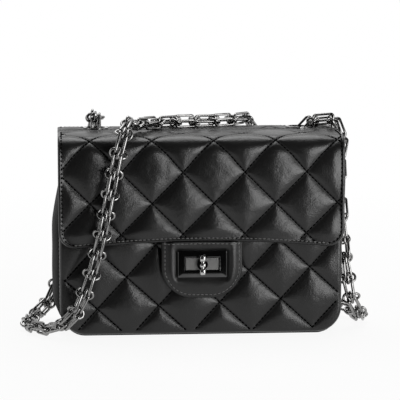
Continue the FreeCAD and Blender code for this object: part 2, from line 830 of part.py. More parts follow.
# Turn lock: window plate on the tab, base on the front panel, and the turning knob.
def lock_plates():
    plate = new_body("lock_plate")
    low, high = "lock_height - plate_height / 2", "lock_height + plate_height / 2"
    add_slab(plate, "front", centred("plate_width / 2", low, high), "plate_face", "tab_face")
    for height in (low, high):
        round_corners(plate, "plate_corner", "plate_width / 2", height)
    round_edges(plate, "plate_edge", lambda edge: lies_at(edge, "Y", "plate_face"))
    tight = "screw / 2 + screw_play / 2"
    holes = open_tab(plate, "plate_face - overrun", "tab_face + overrun", "0", tight)
    cut(plate, "front", "tab_face - screw_bite - screw_play", "tab_face", circles=holes)
    back = new_body("lock_back_plate")
    half = "plate_width / 2 - back_plate_margin"
    outline = centred(half, f"{low} + back_plate_margin", f"{high} - back_plate_margin")
    add_slab(back, "front", outline, "backing_face", "back_plate_face")
    low, high = "backing_face - overrun", "back_plate_face + overrun"
    holes = open_tab(back, low, high, "0", tight)
    cut(back, "front", low, high, circles=holes)
    length = "back_plate_face - tab_face + screw_bite"
    screws = [
        rod(name, "screw / 2", length, "front", f"{side} * screw_line", "back_plate_face", "lock_height")
        for name, side in (("left_screw", -1), ("right_screw", 1))
    ]
    group("lock_plate_screws", screws)


def lock_base():
    base = new_body("lock_base")
    low, high = "lock_height - base_height / 2", "lock_height + base_height / 2"
    add_slab(base, "front", centred("base_width / 2", low, high), "base_face", "front_face")
    for height in (low, high):
        round_corners(base, "base_corner", "base_width / 2", height)
    pedestal = centred(
        "window_width / 2 - window_play",
        "lock_height - window_height / 2 + window_play",
        "lock_height + window_height / 2 - window_play",
    )
    add_slab(base, "front", pedestal, "pedestal_face", "base_face")
    bore = [("0", "lock_height", "post / 2 + post_play / 2")]
    cut(base, "front", "pedestal_face - overrun", "front_face + overrun", circles=bore)
    holes = [(f"{side} * rivet_line", "lock_height", "rivet / 2 + screw_play / 2") for side in (-1, 1)]
    cut(base, "front", "base_face - overrun", "front_face + overrun", circles=holes)
    washer = new_body("lock_base_washer")
    outline = centred("base_width / 2", low, high)
    add_slab(washer, "front", outline, "recess_floor", "recess_floor + base_washer_thick")
    cut(washer, "front", "recess_floor - overrun", "front_inner + overrun", circles=bore + holes)
    length = "recess_floor + base_washer_thick - base_face"
    rivets = [
        rod(name, "rivet / 2", length, "back", f"{side} * rivet_line", "base_face", "lock_height")
        for name, side in (("left_rivet", -1), ("right_rivet", 1))
    ]
    group("lock_base_rivets", rivets)


def lock_knob():
    post_start = "front_inner - clip_gap"
    shaft_length = f"{post_start} - pedestal_face + collar_gap"
    collar_start = "pedestal_face - collar_gap"
    shaft = rod("lock_shaft", "post / 2", shaft_length, "front", "0", post_start, "lock_height")
    collar_length = f"{collar_start} - knob_back"
    collar = rod("lock_collar", "collar / 2", collar_length, "front", "0", collar_start, "lock_height")
    post = doc.addObject("Part::Fuse", "lock_post")
    post.Label = "lock_post"
    post.Base = shaft
    post.Tool = collar
    subparts.append(post)
    clip = new_body("lock_post_clip")
    low, high = f"{post_start} - clip_thick", post_start
    bottom, top = "lock_height - clip / 2", "lock_height + clip / 2"
    add_slab(clip, "front", centred("clip / 2", bottom, top), low, high)
    for height in (bottom, top):
        round_corners(clip, f"clip * {round_share}", "clip / 2", height)
    bore = [("0", "lock_height", "post / 2 + post_play / 4")]
    cut(clip, "front", f"{low} - overrun", f"{high} + overrun", circles=bore)
    bar = new_body("lock_knob")
    bottom, top = "lock_height - knob_height / 2", "lock_height + knob_height / 2"
    add_slab(bar, "front", centred("knob_width / 2", bottom, top), "knob_face", "knob_back")
    round_edges(bar, "knob_edge", lambda edge: lies_at(edge, "Y", "knob_face"))
    for side in (-1, 1):
        middle = f"lock_height + {side} * knob_height * {knob_groove_share}"
        groove = centred("knob_width", f"{middle} - knob_groove / 2", f"{middle} + knob_groove / 2")
        cut(bar, "front", "knob_face - overrun", "knob_face + knob_groove_depth", groove)


# Strap route: straight runs joined by tangent arcs, each as large as its two runs allow.
def route_samples():
    spots = [FreeCAD.Vector(*point[:3]) for point in strap_route]
    facings = [FreeCAD.Vector(*point[3:]).normalize() for point in strap_route]
    samples = [(spots[0], facings[0])]
    radii = []
    for index in range(1, len(spots) - 1):
        before = spots[index - 1] - spots[index]
        after = spots[index + 1] - spots[index]
        reach = arc_share * min(before.Length, after.Length)
        facing = facings[index]
        start_facing = mix(facing, facings[index - 1], reach / before.Length)
        end_facing = mix(facing, facings[index + 1], reach / after.Length)
        radius = reach / math.tan((math.pi - before.getAngle(after)) / 2)
        radii.append(radius)
        start = spots[index] + before.normalize() * reach
        end = spots[index] + after.normalize() * reach
        bow = spots[index] + (before + after).normalize() * (math.hypot(reach, radius) - radius)
        samples += stretch(Part.LineSegment(samples[-1][0], start), samples[-1][1], start_facing)
        arc = Part.Arc(start, bow, end)
        halfway = arc.parameterAtDistance(arc.length() / 2, arc.FirstParameter)
        first_half, second_half = arc.copy(), arc.copy()
        first_half.setParameterRange(arc.FirstParameter, halfway)
        second_half.setParameterRange(halfway, arc.LastParameter)
        samples += stretch(first_half, start_facing, facing)
        samples += stretch(second_half, facing, end_facing)
    samples += stretch(Part.LineSegment(samples[-1][0], spots[-1]), samples[-1][1], facings[-1])
    print("strap arc radii, mm:", " ".join(f"{radius:.0f}" for radius in radii))
    return samples


def mix(first, second, share):
    return first * (1 - share) + second * share


# Points along one curve, with the facing eased from its first end to its last.
def stretch(curve, first_facing, last_facing):
    spots = curve.toShape().discretize(Number=route_steps)
    return [
        (spot, mix(first_facing, last_facing, index / (route_steps - 1)))
        for index, spot in enumerate(spots)
    ][1:]


# Points one pitch apart along the samples, measured straight from point to point.
def walk(samples, pitch):
    stops = [samples[0]]
    for (spot, facing), (ahead, ahead_facing) in zip(samples, samples[1:]):
        while (ahead - stops[-1][0]).Length >= pitch:
            low, high = 0.0, 1.0
            for _ in range(halvings):
                share = (low + high) / 2
                if (mix(spot, ahead, share) - stops[-1][0]).Length < pitch:
                    low = share
                else:
                    high = share
            stops.append((mix(spot, ahead, high), mix(facing, ahead_facing, high)))
    return stops


# The pitch is eased so that a whole number of steps ends at the route's end.
def strap_stops():
    samples = route_samples()
    pitch = amount("chain_pitch")
    count = len(walk(samples, pitch))
    low, high = pitch * pitch_ease_share, pitch
    for _ in range(halvings):
        middle = (low + high) / 2
        if len(walk(samples, middle)) > count:
            low = middle
        else:
            high = middle
    stops = walk(samples, low)[: count + 1]
    length = sum((b[0] - a[0]).Length for a, b in zip(samples, samples[1:]))
    print(f"strap: {length:.0f} mm long, {len(stops)} ring pairs, pitch {low:.3f} mm")
    return stops


# At its two ends the strap points straight along the route's first and last runs.
def strap_frames():
    stops = strap_stops()
    spots = [FreeCAD.Vector(*point[:3]) for point in strap_route]
    last = len(stops) - 1
    ends = {0: spots[1] - spots[0], last: spots[-1] - spots[-2]}
    frames = []
    for index, (spot, facing) in enumerate(stops):
        along = ends[index] if index in ends else stops[index + 1][0] - stops[index - 1][0]
        along.normalize()
        across = along.cross(facing).normalize()
        frames.append((spot, along, across, across.cross(along)))
    return frames


def oriented(shape, origin, x_way, z_way):
    z_axis = FreeCAD.Vector(z_way).normalize()
    x_axis = (x_way - z_axis * x_way.dot(z_axis)).normalize()
    y_axis = z_axis.cross(x_axis)
    matrix = FreeCAD.Matrix()
    for column, axis in enumerate((x_axis, y_axis, z_axis, origin), start=1):
        for line, number in enumerate(axis, start=1):
            setattr(matrix, f"A{line}{column}", number)
    moved = shape.copy()
    moved.Placement = FreeCAD.Placement(matrix)
    return moved


# One long link: a round wire along a racetrack, lengthwise on X and flat in XY.
def long_link(length, half_width, wire):
    reach = length / 2 - half_width
    up = FreeCAD.Vector(0, half_width, 0)
    left, right = FreeCAD.Vector(-reach, 0, 0), FreeCAD.Vector(reach, 0, 0)
    nose = FreeCAD.Vector(half_width, 0, 0)
    track = Part.Wire(
        [
            Part.LineSegment(left + up, right + up).toShape(),
            Part.Arc(right + up, right + nose, right - up).toShape(),
            Part.LineSegment(right - up, left - up).toShape(),
            Part.Arc(left - up, left - nose, left + up).toShape(),
        ]
    )
    section = Part.Wire([Part.Circle(left + up, FreeCAD.Vector(1, 0, 0), wire / 2).toShape()])
    return track.makePipeShell([section], True, False)


# Each pitch has two rings that hang in each other, and two long links that lead to the next pair.
def strap():
    wire = amount("chain_wire")
    radius = amount("ring_radius")
    offset = amount("ring_offset")
    lean = math.radians(amount("ring_lean"))
    roll = math.radians(amount("link_roll"))
    ring = Part.makeTorus(radius, wire / 2)
    link_length = amount("chain_pitch + 2 * (chain_wire + link_slack - ring_radius * cos(ring_lean))")
    link = long_link(link_length, amount("link_half_width"), wire)
    frames = strap_frames()
    last = len(frames) - 1
    cuts = [round(last * share) for share in strap_split_share]
    bounds = {
        "strap_left": (0, cuts[0]),
        "strap_front": (cuts[0], cuts[1]),
        "strap_right": (cuts[1], last + 1),
    }
    rings = []
    links = []
    for index, (spot, along, across, facing) in enumerate(frames):
        sign = 1 if index % 2 else -1
        for side in (-1, 1):
            lift = facing * (-side * sign * math.sin(lean))
            rise = along * math.cos(lean) + lift
            centre = spot + across * (side * offset)
            rings.append((index, oriented(ring, centre, rise, rise.cross(across))))
            if index < last:
                ahead_spot, ahead_along, ahead_across, ahead_facing = frames[index + 1]
                ahead_rise = ahead_along * math.cos(lean) - ahead_facing * (-side * sign * math.sin(lean))
                start = centre + rise * radius
                end = ahead_spot + ahead_across * (side * offset) - ahead_rise * radius
                inward = (across + ahead_across) * (-side)
                outward = (facing + ahead_facing) * (-side * sign)
                broad = inward * math.cos(roll) + outward * math.sin(roll)
                run = end - start
                links.append((index, oriented(link, (start + end) / 2, run, run.cross(broad))))
    for name, (first, end) in bounds.items():
        for kind, members in (("rings", rings), ("long_links", links)):
            solids = [shape for index, shape in members if first <= index < end]
            feature = doc.addObject("Part::Feature", f"{name}_{kind}")
            feature.Label = f"{name}_{kind}"
            feature.Shape = Part.makeCompound(solids)
            feature.Placement = FreeCAD.Placement()
            subparts.append(feature)


front_panel()
back_panel()
wrapped_strip("gusset", "gusset_half", "gusset_thick", "0", "gusset_corner")
base_board()
wrapped_strip("lining_gusset", "lining_half", "lining_thick", "lining_floor", "lining_corner")
lining_walls()
mouth_binding()
inside_pockets()
zip_fastener()
zip_slider()
zip_pull()
top_yoke()
grommet("left", -1)
grommet("right", 1)
end_bars()
flap_outer()
flap_lining()
flap_tab()
tab_backing()
lock_plates()
lock_base()
lock_knob()
strap()
doc.recompute()

faults = [item.Label for item in doc.Objects if "Invalid" in item.State or "Error" in item.State]
faults += [part.Label for part in subparts if part.Shape.isNull() or not part.Shape.isValid()]
if faults:
    raise RuntimeError("these did not build: " + ", ".join(faults))

os.makedirs("parts", exist_ok=True)
for part in subparts:
    part.Shape.exportStep(f"parts/{part.Label}.step")
print(len(subparts), "sub-parts written")
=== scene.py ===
import bpy
import bmesh
import json
import math
from mathutils import Matrix, Vector, noise

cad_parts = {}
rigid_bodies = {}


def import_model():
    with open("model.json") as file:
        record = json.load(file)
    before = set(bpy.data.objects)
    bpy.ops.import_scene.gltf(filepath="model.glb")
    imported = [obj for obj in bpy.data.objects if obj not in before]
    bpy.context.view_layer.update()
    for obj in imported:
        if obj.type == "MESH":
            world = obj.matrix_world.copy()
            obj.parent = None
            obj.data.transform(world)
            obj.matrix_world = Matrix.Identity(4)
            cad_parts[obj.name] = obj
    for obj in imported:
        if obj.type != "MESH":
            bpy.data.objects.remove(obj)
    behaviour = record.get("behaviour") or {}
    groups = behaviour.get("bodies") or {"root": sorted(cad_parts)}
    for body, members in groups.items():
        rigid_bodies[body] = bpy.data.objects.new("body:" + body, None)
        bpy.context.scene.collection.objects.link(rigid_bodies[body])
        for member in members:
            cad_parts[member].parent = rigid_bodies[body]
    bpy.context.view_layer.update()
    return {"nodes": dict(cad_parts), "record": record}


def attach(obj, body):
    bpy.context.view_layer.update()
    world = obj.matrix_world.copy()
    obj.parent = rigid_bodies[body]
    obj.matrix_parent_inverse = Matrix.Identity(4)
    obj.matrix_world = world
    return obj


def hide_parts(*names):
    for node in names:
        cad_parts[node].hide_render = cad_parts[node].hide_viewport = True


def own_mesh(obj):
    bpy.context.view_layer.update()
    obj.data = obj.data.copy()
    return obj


mm = 0.001
for spare in list(bpy.data.objects):
    bpy.data.objects.remove(spare)
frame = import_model()
nodes = frame["nodes"]
print("frame loaded:", len(nodes), "nodes")


# small tools

def smooth(low, high, number):
    share = min(1.0, max(0.0, (number - low) / (high - low)))
    return share * share * (3 - 2 * share)


def hump(distance, width):
    return math.exp(-((distance / width) ** 2))


def steps(low, high, size):
    count = max(1, round(abs(high - low) / size))
    return [low + (high - low) * i / count for i in range(count + 1)]


# places at given distances from both ends, and even steps between the last of them
def edged(low, high, near, size, far=None):
    far = far or near
    inner = steps(low + near[-1], high - far[-1], size)
    return [low + d for d in near[:-1]] + inner + [high - d for d in reversed(far[:-1])]


def quarter(count):  # angles of a quarter turn
    return [math.pi / 2 * i / count for i in range(count + 1)]


def ripple(x, y, height, size, seed):  # soft unevenness, up to the height either way
    return height * noise.noise(Vector((x / size, y / size, seed)))


def heading(turn, rise):  # the way to the camera or a lamp, in degrees round from the front and up
    turn, rise = math.radians(turn), math.radians(rise)
    return Vector((math.sin(turn) * math.cos(rise), -math.cos(turn) * math.cos(rise), math.sin(rise)))


def addObject(name, data):
    thing = bpy.data.objects.new(name, data)
    bpy.context.scene.collection.objects.link(thing)
    return thing


# the body a piece moves with and the solids it stands for, which it hides; the finish named by slotName is
# not used
def settle(piece, slotName, body, *standsFor):
    if standsFor:
        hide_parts(*standsFor)
    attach(piece, body)
    return piece


def makeMesh(name, spots, faces, material, sharp=40, marks=None):
    mesh = bpy.data.meshes.new(name)
    mesh.from_pydata([[c * mm for c in spot] for spot in spots], [], faces)
    # the seam layer says how strongly the painted shade of the quilt lines shows
    if marks:
        layer = mesh.attributes.new("seam", "FLOAT", "POINT")
        layer.data.foreach_set("value", marks)
    shape = bmesh.new()
    shape.from_mesh(mesh)
    bmesh.ops.remove_doubles(shape, verts=shape.verts, dist=2e-6)
    bmesh.ops.dissolve_degenerate(shape, dist=1e-7, edges=shape.edges)
    bmesh.ops.recalc_face_normals(shape, faces=shape.faces)
    limit = math.radians(sharp)
    for edge in shape.edges:
        edge.smooth = len(edge.link_faces) == 2 and edge.calc_face_angle(0) < limit
    for face in shape.faces:
        face.smooth = True
    shape.to_mesh(mesh)
    shape.free()
    mesh.materials.append(material)
    return addObject(name, mesh)


# closed slab from two grids of points, front and back; cells that keep() turns down are left out
def slab(name, front, back, material, keep=None, marks=None, sharp=40):
    rows, columns = len(front), len(front[0])
    size = rows * columns
    spots = [spot for row in front + back for spot in row]
    kept = {
        (i, j) for i in range(rows - 1) for j in range(columns - 1) if keep is None or keep(i, j)
    }

    def at(i, j, side):
        return side * size + i * columns + j

    def onOtherDiagonal(i, j):  # a seam folds along its own line
        return marks and marks[i][j + 1] + marks[i + 1][j] > marks[i][j] + marks[i + 1][j + 1]

    faces = []
    for i, j in sorted(kept):
        cell = [at(i, j, 0), at(i, j + 1, 0), at(i + 1, j + 1, 0), at(i + 1, j, 0)]
        faces.append(cell[1:] + cell[:1] if onOtherDiagonal(i, j) else cell)
        faces.append([at(i, j, 1), at(i + 1, j, 1), at(i + 1, j + 1, 1), at(i, j + 1, 1)])
        rim = (
            ((i - 1, j), (i, j), (i, j + 1)),
            ((i + 1, j), (i + 1, j + 1), (i + 1, j)),
            ((i, j - 1), (i + 1, j), (i, j)),
            ((i, j + 1), (i, j + 1), (i + 1, j + 1)),
        )
        for beside, first, second in rim:
            if beside not in kept:
                faces.append([at(*first, 0), at(*first, 1), at(*second, 1), at(*second, 0)])
    used = sorted({spot for face in faces for spot in face})
    place = {spot: i for i, spot in enumerate(used)}
    faces = [[place[spot] for spot in face] for face in faces]
    if marks:
        marks = [mark for row in marks for mark in row] + [0.0] * size
        marks = [marks[i] for i in used]
    return makeMesh(name, [spots[i] for i in used], faces, material, sharp, marks)


# rings of points joined one to the next, the last back to the first or both ends closed
def ringLoft(name, rings, material, endless=True, sharp=40):
    count = len(rings[0])
    spots = [spot for ring in rings for spot in ring]
    faces = []
    for i in range(len(rings) if endless else len(rings) - 1):
        ahead = (i + 1) % len(rings)
        for j in range(count):
            after = (j + 1) % count
            faces.append([i * count + j, i * count + after, ahead * count + after, ahead * count + j])
    if not endless:
        faces.append(list(range(count))[::-1])
        faces.append(list(range((len(rings) - 1) * count, len(rings) * count)))
    return makeMesh(name, spots, faces, material, sharp)


def roundedBox(halfWide, halfHigh, corner, perCorner=5):
    spots = []
    for turn, (sx, sz) in enumerate(((1, 1), (-1, 1), (-1, -1), (1, -1))):
        for k in range(perCorner):
            angle = math.radians(90 * (turn + k / (perCorner - 1)))
            x = sx * (halfWide - corner) + corner * math.cos(angle)
            spots.append((x, sz * (halfHigh - corner) + corner * math.sin(angle)))
    return spots


def upright(grid, depth):  # points of an upright face, from a depth or a function that gives it
    return [[(x, depth(x, z) if callable(depth) else depth, z) for x, z in row] for row in grid]


def roundWindow(grid, halfWide, halfHigh, middle):  # keeps the cells outside a window
    def keep(i, j):
        (x, z), (xAfter, zAfter) = grid[i][j], grid[i + 1][j + 1]
        return abs(x + xAfter) / 2 > halfWide or abs((z + zAfter) / 2 - middle) > halfHigh

    return keep


# materials

def feed(socket, value):
    if isinstance(value, bpy.types.NodeSocket):
        socket.id_data.links.new(value, socket)
    else:
        socket.default_value = value


def nodeMaker(tree):
    def make(kind, inputs=None, **settings):
        node = tree.nodes.new(kind)
        for key, value in settings.items():
            setattr(node, key, value)
        for key, value in (inputs or {}).items():
            feed(node.inputs[key], value)
        return node

    return make


def blankTree(holder):
    holder.use_nodes = True
    holder.node_tree.nodes.clear()
    return nodeMaker(holder.node_tree)


def blankMaterial(name):
    material = bpy.data.materials.new(name)
    make = blankTree(material)
    shader = make("ShaderNodeBsdfPrincipled")
    make("ShaderNodeOutputMaterial", {"Surface": shader.outputs[0]})
    return material, make, shader, make("ShaderNodeTexCoord").outputs["Object"]


def compute(make, operation, *values):
    return make("ShaderNodeMath", dict(enumerate(values)), operation=operation).outputs[0]


def ramp(make, source, low, high):  # 0..1 source spread over low..high
    return make("ShaderNodeMapRange", {"Value": source, "To Min": low, "To Max": high}).outputs[0]


def speckle(make, spot, scale, detail, twist=0.0):
    inputs = {"Vector": spot, "Scale": scale, "Detail": detail, "Distortion": twist}
    return make("ShaderNodeTexNoise", inputs).outputs["Fac"]


def twoTone(make, share, first, second):
    mixer = make("ShaderNodeMix", data_type="RGBA")
    for index, value in ((0, share), (6, first), (7, second)):
        feed(mixer.inputs[index], (*value, 1) if isinstance(value, tuple) else value)
    return mixer.outputs[2]


def finishLook(make, shader, colour, rough, height, strength, depth):
    bump = make("ShaderNodeBump", {"Height": height, "Strength": strength, "Distance": depth})
    for label, value in (("Base Color", colour), ("Roughness", rough), ("Normal", bump.outputs[0])):
        feed(shader.inputs[label], value)


blackHide = {"dark": (0.004, 0.004, 0.004), "light": (0.008, 0.0078, 0.0076)}
leatherLooks = {
    "quiltLeather": {
        **blackHide, "rough": (0.27, 0.38), "grain": 1300, "depth": 0.00014, "crease": 90, "gloss": 0.4,
    },
    "edgeLeather": {
        **blackHide, "rough": (0.32, 0.44), "grain": 1500, "depth": 0.00012, "crease": 130, "gloss": 0.38,
    },
    "sideLeather": {
        **blackHide, "rough": (0.55, 0.7), "grain": 1400, "depth": 0.00012, "crease": 110, "gloss": 0.1,
    },
    "liningLeather": {
        "dark": (0.016, 0.0145, 0.014), "light": (0.026, 0.024, 0.023),
        "rough": (0.55, 0.72), "grain": 1900, "depth": 0.00007, "crease": 160, "gloss": 0.3,
    },
}
# seam: near-black colour along the quilt lines, painted shade of the sunken seam grooves
leatherDetail = {
    "seam": (0.001, 0.001, 0.001), "seamRough": 0.5, "cloud": (38.0, 2.0), "pores": (0.35, 5.0),
    "folds": (4.0, 1.2), "foldHeight": 2.2, "bump": 0.55,
}


def leatherMaterial(name):
    look, detail = leatherLooks[name], leatherDetail
    poreScale, poreDetail = detail["pores"]
    material, make, shader, spot = blankMaterial(name)
    cells = make("ShaderNodeTexVoronoi", {"Vector": spot, "Scale": look["grain"]}, feature="SMOOTH_F1")
    pores = speckle(make, spot, look["grain"] * poreScale, poreDetail)
    folds = speckle(make, spot, look["crease"], *detail["folds"])
    # the seam attribute paints shade along the quilt lines, near black where it is full
    seam = make("ShaderNodeAttribute", attribute_name="seam").outputs["Fac"]
    hide = twoTone(make, speckle(make, spot, *detail["cloud"]), look["dark"], look["light"])
    shade = twoTone(make, seam, hide, detail["seam"])
    worn = ramp(make, seam, 0.0, detail["seamRough"])
    polish = compute(make, "ADD", ramp(make, pores, *look["rough"]), worn)
    grain = compute(make, "ADD", cells.outputs["Distance"], pores)
    height = compute(make, "MULTIPLY_ADD", folds, detail["foldHeight"], grain)
    finishLook(make, shader, shade, polish, height, detail["bump"], look["depth"])
    shader.inputs["Specular IOR Level"].default_value = look["gloss"]
    return material


metalLooks = {
    "gunmetal": {
        "dark": (0.13, 0.13, 0.13), "light": (0.36, 0.356, 0.35), "rough": (0.10, 0.20), "grain": 420,
    },
    "satinMetal": {
        "dark": (0.15, 0.15, 0.148), "light": (0.23, 0.227, 0.222), "rough": (0.30, 0.38), "grain": 260,
    },
    "blackMetal": {
        "dark": (0.05, 0.05, 0.05), "light": (0.09, 0.09, 0.09), "rough": (0.05, 0.10), "grain": 240,
    },
    "brightMetal": {
        "dark": (0.38, 0.38, 0.38), "light": (0.54, 0.534, 0.526), "rough": (0.10, 0.22), "grain": 300,
    },
}
metalDetail = {"cloud": (0.5, 3.0), "fine": (5.0, 2.0), "bump": (0.12, 0.00002)}
weaveDetail = {"twist": 0.4, "smoother": 0.15, "bump": (0.5, 0.0001)}


def metalMaterial(name):
    look = metalLooks[name]
    material, make, shader, spot = blankMaterial(name)
    cloud, fine = (
        speckle(make, spot, look["grain"] * scale, detail)
        for scale, detail in (metalDetail["cloud"], metalDetail["fine"])
    )
    tint = twoTone(make, cloud, look["dark"], look["light"])
    finishLook(make, shader, tint, ramp(make, fine, *look["rough"]), fine, *metalDetail["bump"])
    shader.inputs["Metallic"].default_value = 1.0
    return material


def wovenMaterial(name, dark, light, pitch, rough, gloss=0.5):  # zip tape, thread and board
    material, make, shader, spot = blankMaterial(name)
    inputs = {"Vector": spot, "Scale": pitch, "Distortion": weaveDetail["twist"]}
    bands = [make("ShaderNodeTexWave", inputs, bands_direction=way).outputs["Fac"] for way in "XZ"]
    weave = compute(make, "MULTIPLY", *bands)
    tint = twoTone(make, weave, dark, light)
    polish = ramp(make, weave, rough, rough - weaveDetail["smoother"])
    finishLook(make, shader, tint, polish, weave, *weaveDetail["bump"])
    shader.inputs["Specular IOR Level"].default_value = gloss
    return material


quiltLeather, edgeLeather, sideLeather, liningLeather = map(leatherMaterial, leatherLooks)
gunmetal, satinMetal, blackMetal, brightMetal = map(metalMaterial, metalLooks)
zipTape = wovenMaterial("zipTape", (0.010, 0.010, 0.010), (0.03, 0.03, 0.03), 260.0, 0.85)
# thread is grey, lighter than the black thread it stands for: painted highlight on the edge stitches
thread = wovenMaterial("thread", (0.09, 0.09, 0.09), (0.2, 0.197, 0.192), 420.0, 0.6)
# the quilt and side stitches' thread is black darkened to near black: painted shade along those seams
shadedSeamThread = wovenMaterial("shadedSeamThread", (0.0006, 0.0006, 0.0006), (0.003, 0.003, 0.003), 420.0, 0.9, 0.03)
fibreBoard = wovenMaterial("fibreBoard", (0.09, 0.08, 0.07), (0.14, 0.125, 0.11), 90.0, 0.9)
slotLooks = {
    "leather": edgeLeather, "lining": liningLeather, "board": fibreBoard, "tape": zipTape,
    "chain": gunmetal, "polished": brightMetal, "black_metal": blackMetal,
}
for row in frame["record"]["subparts"]:
    part = nodes[row["node"]]
    part.data.materials.clear()
    part.data.materials.append(slotLooks[row["material_slot"]])
nodes["lock_base"].data.materials[0] = satinMetal
print("materials made")


# Geometry Nodes

def newTree(name, **sizes):
    tree = bpy.data.node_groups.new(name, "GeometryNodeTree")
    for label, kind in {"Geometry": "Geometry", **sizes, "Material": "Material"}.items():
        tree.interface.new_socket(label, in_out="INPUT", socket_type="NodeSocket" + kind)
    tree.interface.new_socket("Geometry", in_out="OUTPUT", socket_type="NodeSocketGeometry")
    make = nodeMaker(tree)
    return tree, make, make("NodeGroupInput").outputs


def closeTree(make, entry, instances):
    solid = make("GeometryNodeRealizeInstances", {"Geometry": instances}).outputs[0]
    shaded = make("GeometryNodeSetShadeSmooth", {"Geometry": solid}).outputs[0]
    dressed = make("GeometryNodeSetMaterial", {"Geometry": shaded, "Material": entry["Material"]})
    make("NodeGroupOutput", {0: dressed.outputs[0]})


# runs a tree on a mesh of points or edges and keeps the plain mesh that comes out
def growPiece(name, mesh, tree, values):
    piece = addObject(name, mesh)
    grower = piece.modifiers.new("grower", "NODES")
    grower.node_group = tree
    for item in tree.interface.items_tree:
        if item.in_out == "INPUT" and item.name in values:
            grower[item.identifier] = values[item.name]
    bpy.context.view_layer.update()
    grown = bpy.data.meshes.new_from_object(piece.evaluated_get(bpy.context.evaluated_depsgraph_get()))
    piece.modifiers.remove(grower)
    piece.data = grown
    return piece


def evenPoints(make, entry):
    line = make("GeometryNodeMeshToCurve", {"Mesh": entry["Geometry"]}).outputs[0]
    inputs = {"Curve": line, "Length": entry["Pitch"]}
    return make("GeometryNodeResampleCurve", inputs, mode="LENGTH").outputs[0]


def stitchTree():
    tree, make, entry = newTree("stitchRow", Pitch="Float", Size="Vector")
    loop = make("GeometryNodeMeshUVSphere", {"Segments": 6, "Rings": 4, "Radius": 1.0}).outputs[0]
    along = make("GeometryNodeInputTangent").outputs[0]
    turn = make("FunctionNodeAlignRotationToVector", {"Vector": along}, axis="Z").outputs[0]
    row = make(
        "GeometryNodeInstanceOnPoints",
        {"Points": evenPoints(make, entry), "Instance": loop, "Rotation": turn, "Scale": entry["Size"]},
    )
    closeTree(make, entry, row.outputs[0])
    return tree


def linkTree():
    sizes = ("Wire", "Ring radius", "Link half width", "Link length")
    tree, make, entry = newTree("chainLinks", **dict.fromkeys(sizes, "Float"))

    def circle(count, radius):
        return make("GeometryNodeCurvePrimitiveCircle", {"Resolution": count, "Radius": radius}).outputs[0]

    def swept(line):
        return make("GeometryNodeCurveToMesh", {"Curve": line, "Profile Curve": wire}).outputs[0]

    def carried(label, kind):
        return make("GeometryNodeInputNamedAttribute", {"Name": label}, data_type=kind).outputs[0]

    wire = circle(8, compute(make, "MULTIPLY", entry["Wire"], 0.5))
    spot = make("GeometryNodeInputPosition").outputs[0]
    side = compute(make, "SIGN", make("ShaderNodeSeparateXYZ", {0: spot}).outputs[0])
    reach = compute(make, "MULTIPLY", entry["Link length"], 0.5)
    straight = compute(make, "SUBTRACT", reach, entry["Link half width"])
    push = make("ShaderNodeCombineXYZ", {0: compute(make, "MULTIPLY", side, straight)}).outputs[0]
    bow = circle(20, entry["Link half width"])
    stretched = make("GeometryNodeSetPosition", {"Geometry": bow, "Offset": push}).outputs[0]
    turn, isLink = carried("turn", "QUATERNION"), carried("isLink", "BOOLEAN")
    isRing = make("FunctionNodeBooleanMath", {0: isLink}, operation="NOT").outputs[0]
    scale = make("ShaderNodeCombineXYZ", {0: carried("share", "FLOAT"), 1: 1.0, 2: 1.0}).outputs[0]
    both = make("GeometryNodeJoinGeometry")
    for line, chosen in ((circle(20, entry["Ring radius"]), isRing), (stretched, isLink)):
        put = make(
            "GeometryNodeInstanceOnPoints",
            {
                "Points": entry["Geometry"], "Selection": chosen, "Instance": swept(line),
                "Rotation": turn, "Scale": scale,
            },
        )
        tree.links.new(put.outputs[0], both.inputs[0])
    closeTree(make, entry, both.outputs[0])
    return tree


def teethTree():
    tree, make, entry = newTree("zipTeeth", Pitch="Float", Size="Vector", Shift="Float")
    odd = compute(make, "MODULO", make("GeometryNodeInputIndex").outputs[0], 2.0)
    swing = compute(make, "MULTIPLY_ADD", odd, 2.0, -1.0)
    push = make("ShaderNodeCombineXYZ", {2: compute(make, "MULTIPLY", swing, entry["Shift"])}).outputs[0]
    line = evenPoints(make, entry)
    zigzag = make("GeometryNodeSetPosition", {"Geometry": line, "Offset": push}).outputs[0]
    tooth = make("GeometryNodeMeshUVSphere", {"Segments": 8, "Rings": 5, "Radius": 1.0}).outputs[0]
    inputs = {"Points": zigzag, "Instance": tooth, "Scale": entry["Size"]}
    row = make("GeometryNodeInstanceOnPoints", inputs)
    closeTree(make, entry, row.outputs[0])
    return tree


# camera

view = {
    "azimuth": -4.0, "elevation": 8.0, "target": (-1.4, -35.0, 97.5), "distance": 1400.0, "lens": 180.0,
    "sensor": 36, "clipEnd": 20,
}


def placeCamera():
    azimuth = math.radians(view["azimuth"])
    right = Vector((math.cos(azimuth), math.sin(azimuth), 0))
    ahead = -heading(view["azimuth"], view["elevation"])
    lens = bpy.data.cameras.new("camera")
    lens.lens = view["lens"]
    lens.sensor_width = view["sensor"]
    lens.clip_end = view["clipEnd"]
    camera = addObject("camera", lens)
    turn = Matrix((right, right.cross(ahead), -ahead)).transposed().to_4x4()
    spot = Vector(view["target"]) - ahead * view["distance"]
    camera.matrix_world = Matrix.Translation(spot * mm) @ turn
    bpy.context.scene.camera = camera


placeCamera()
print("camera placed")


# chain strap

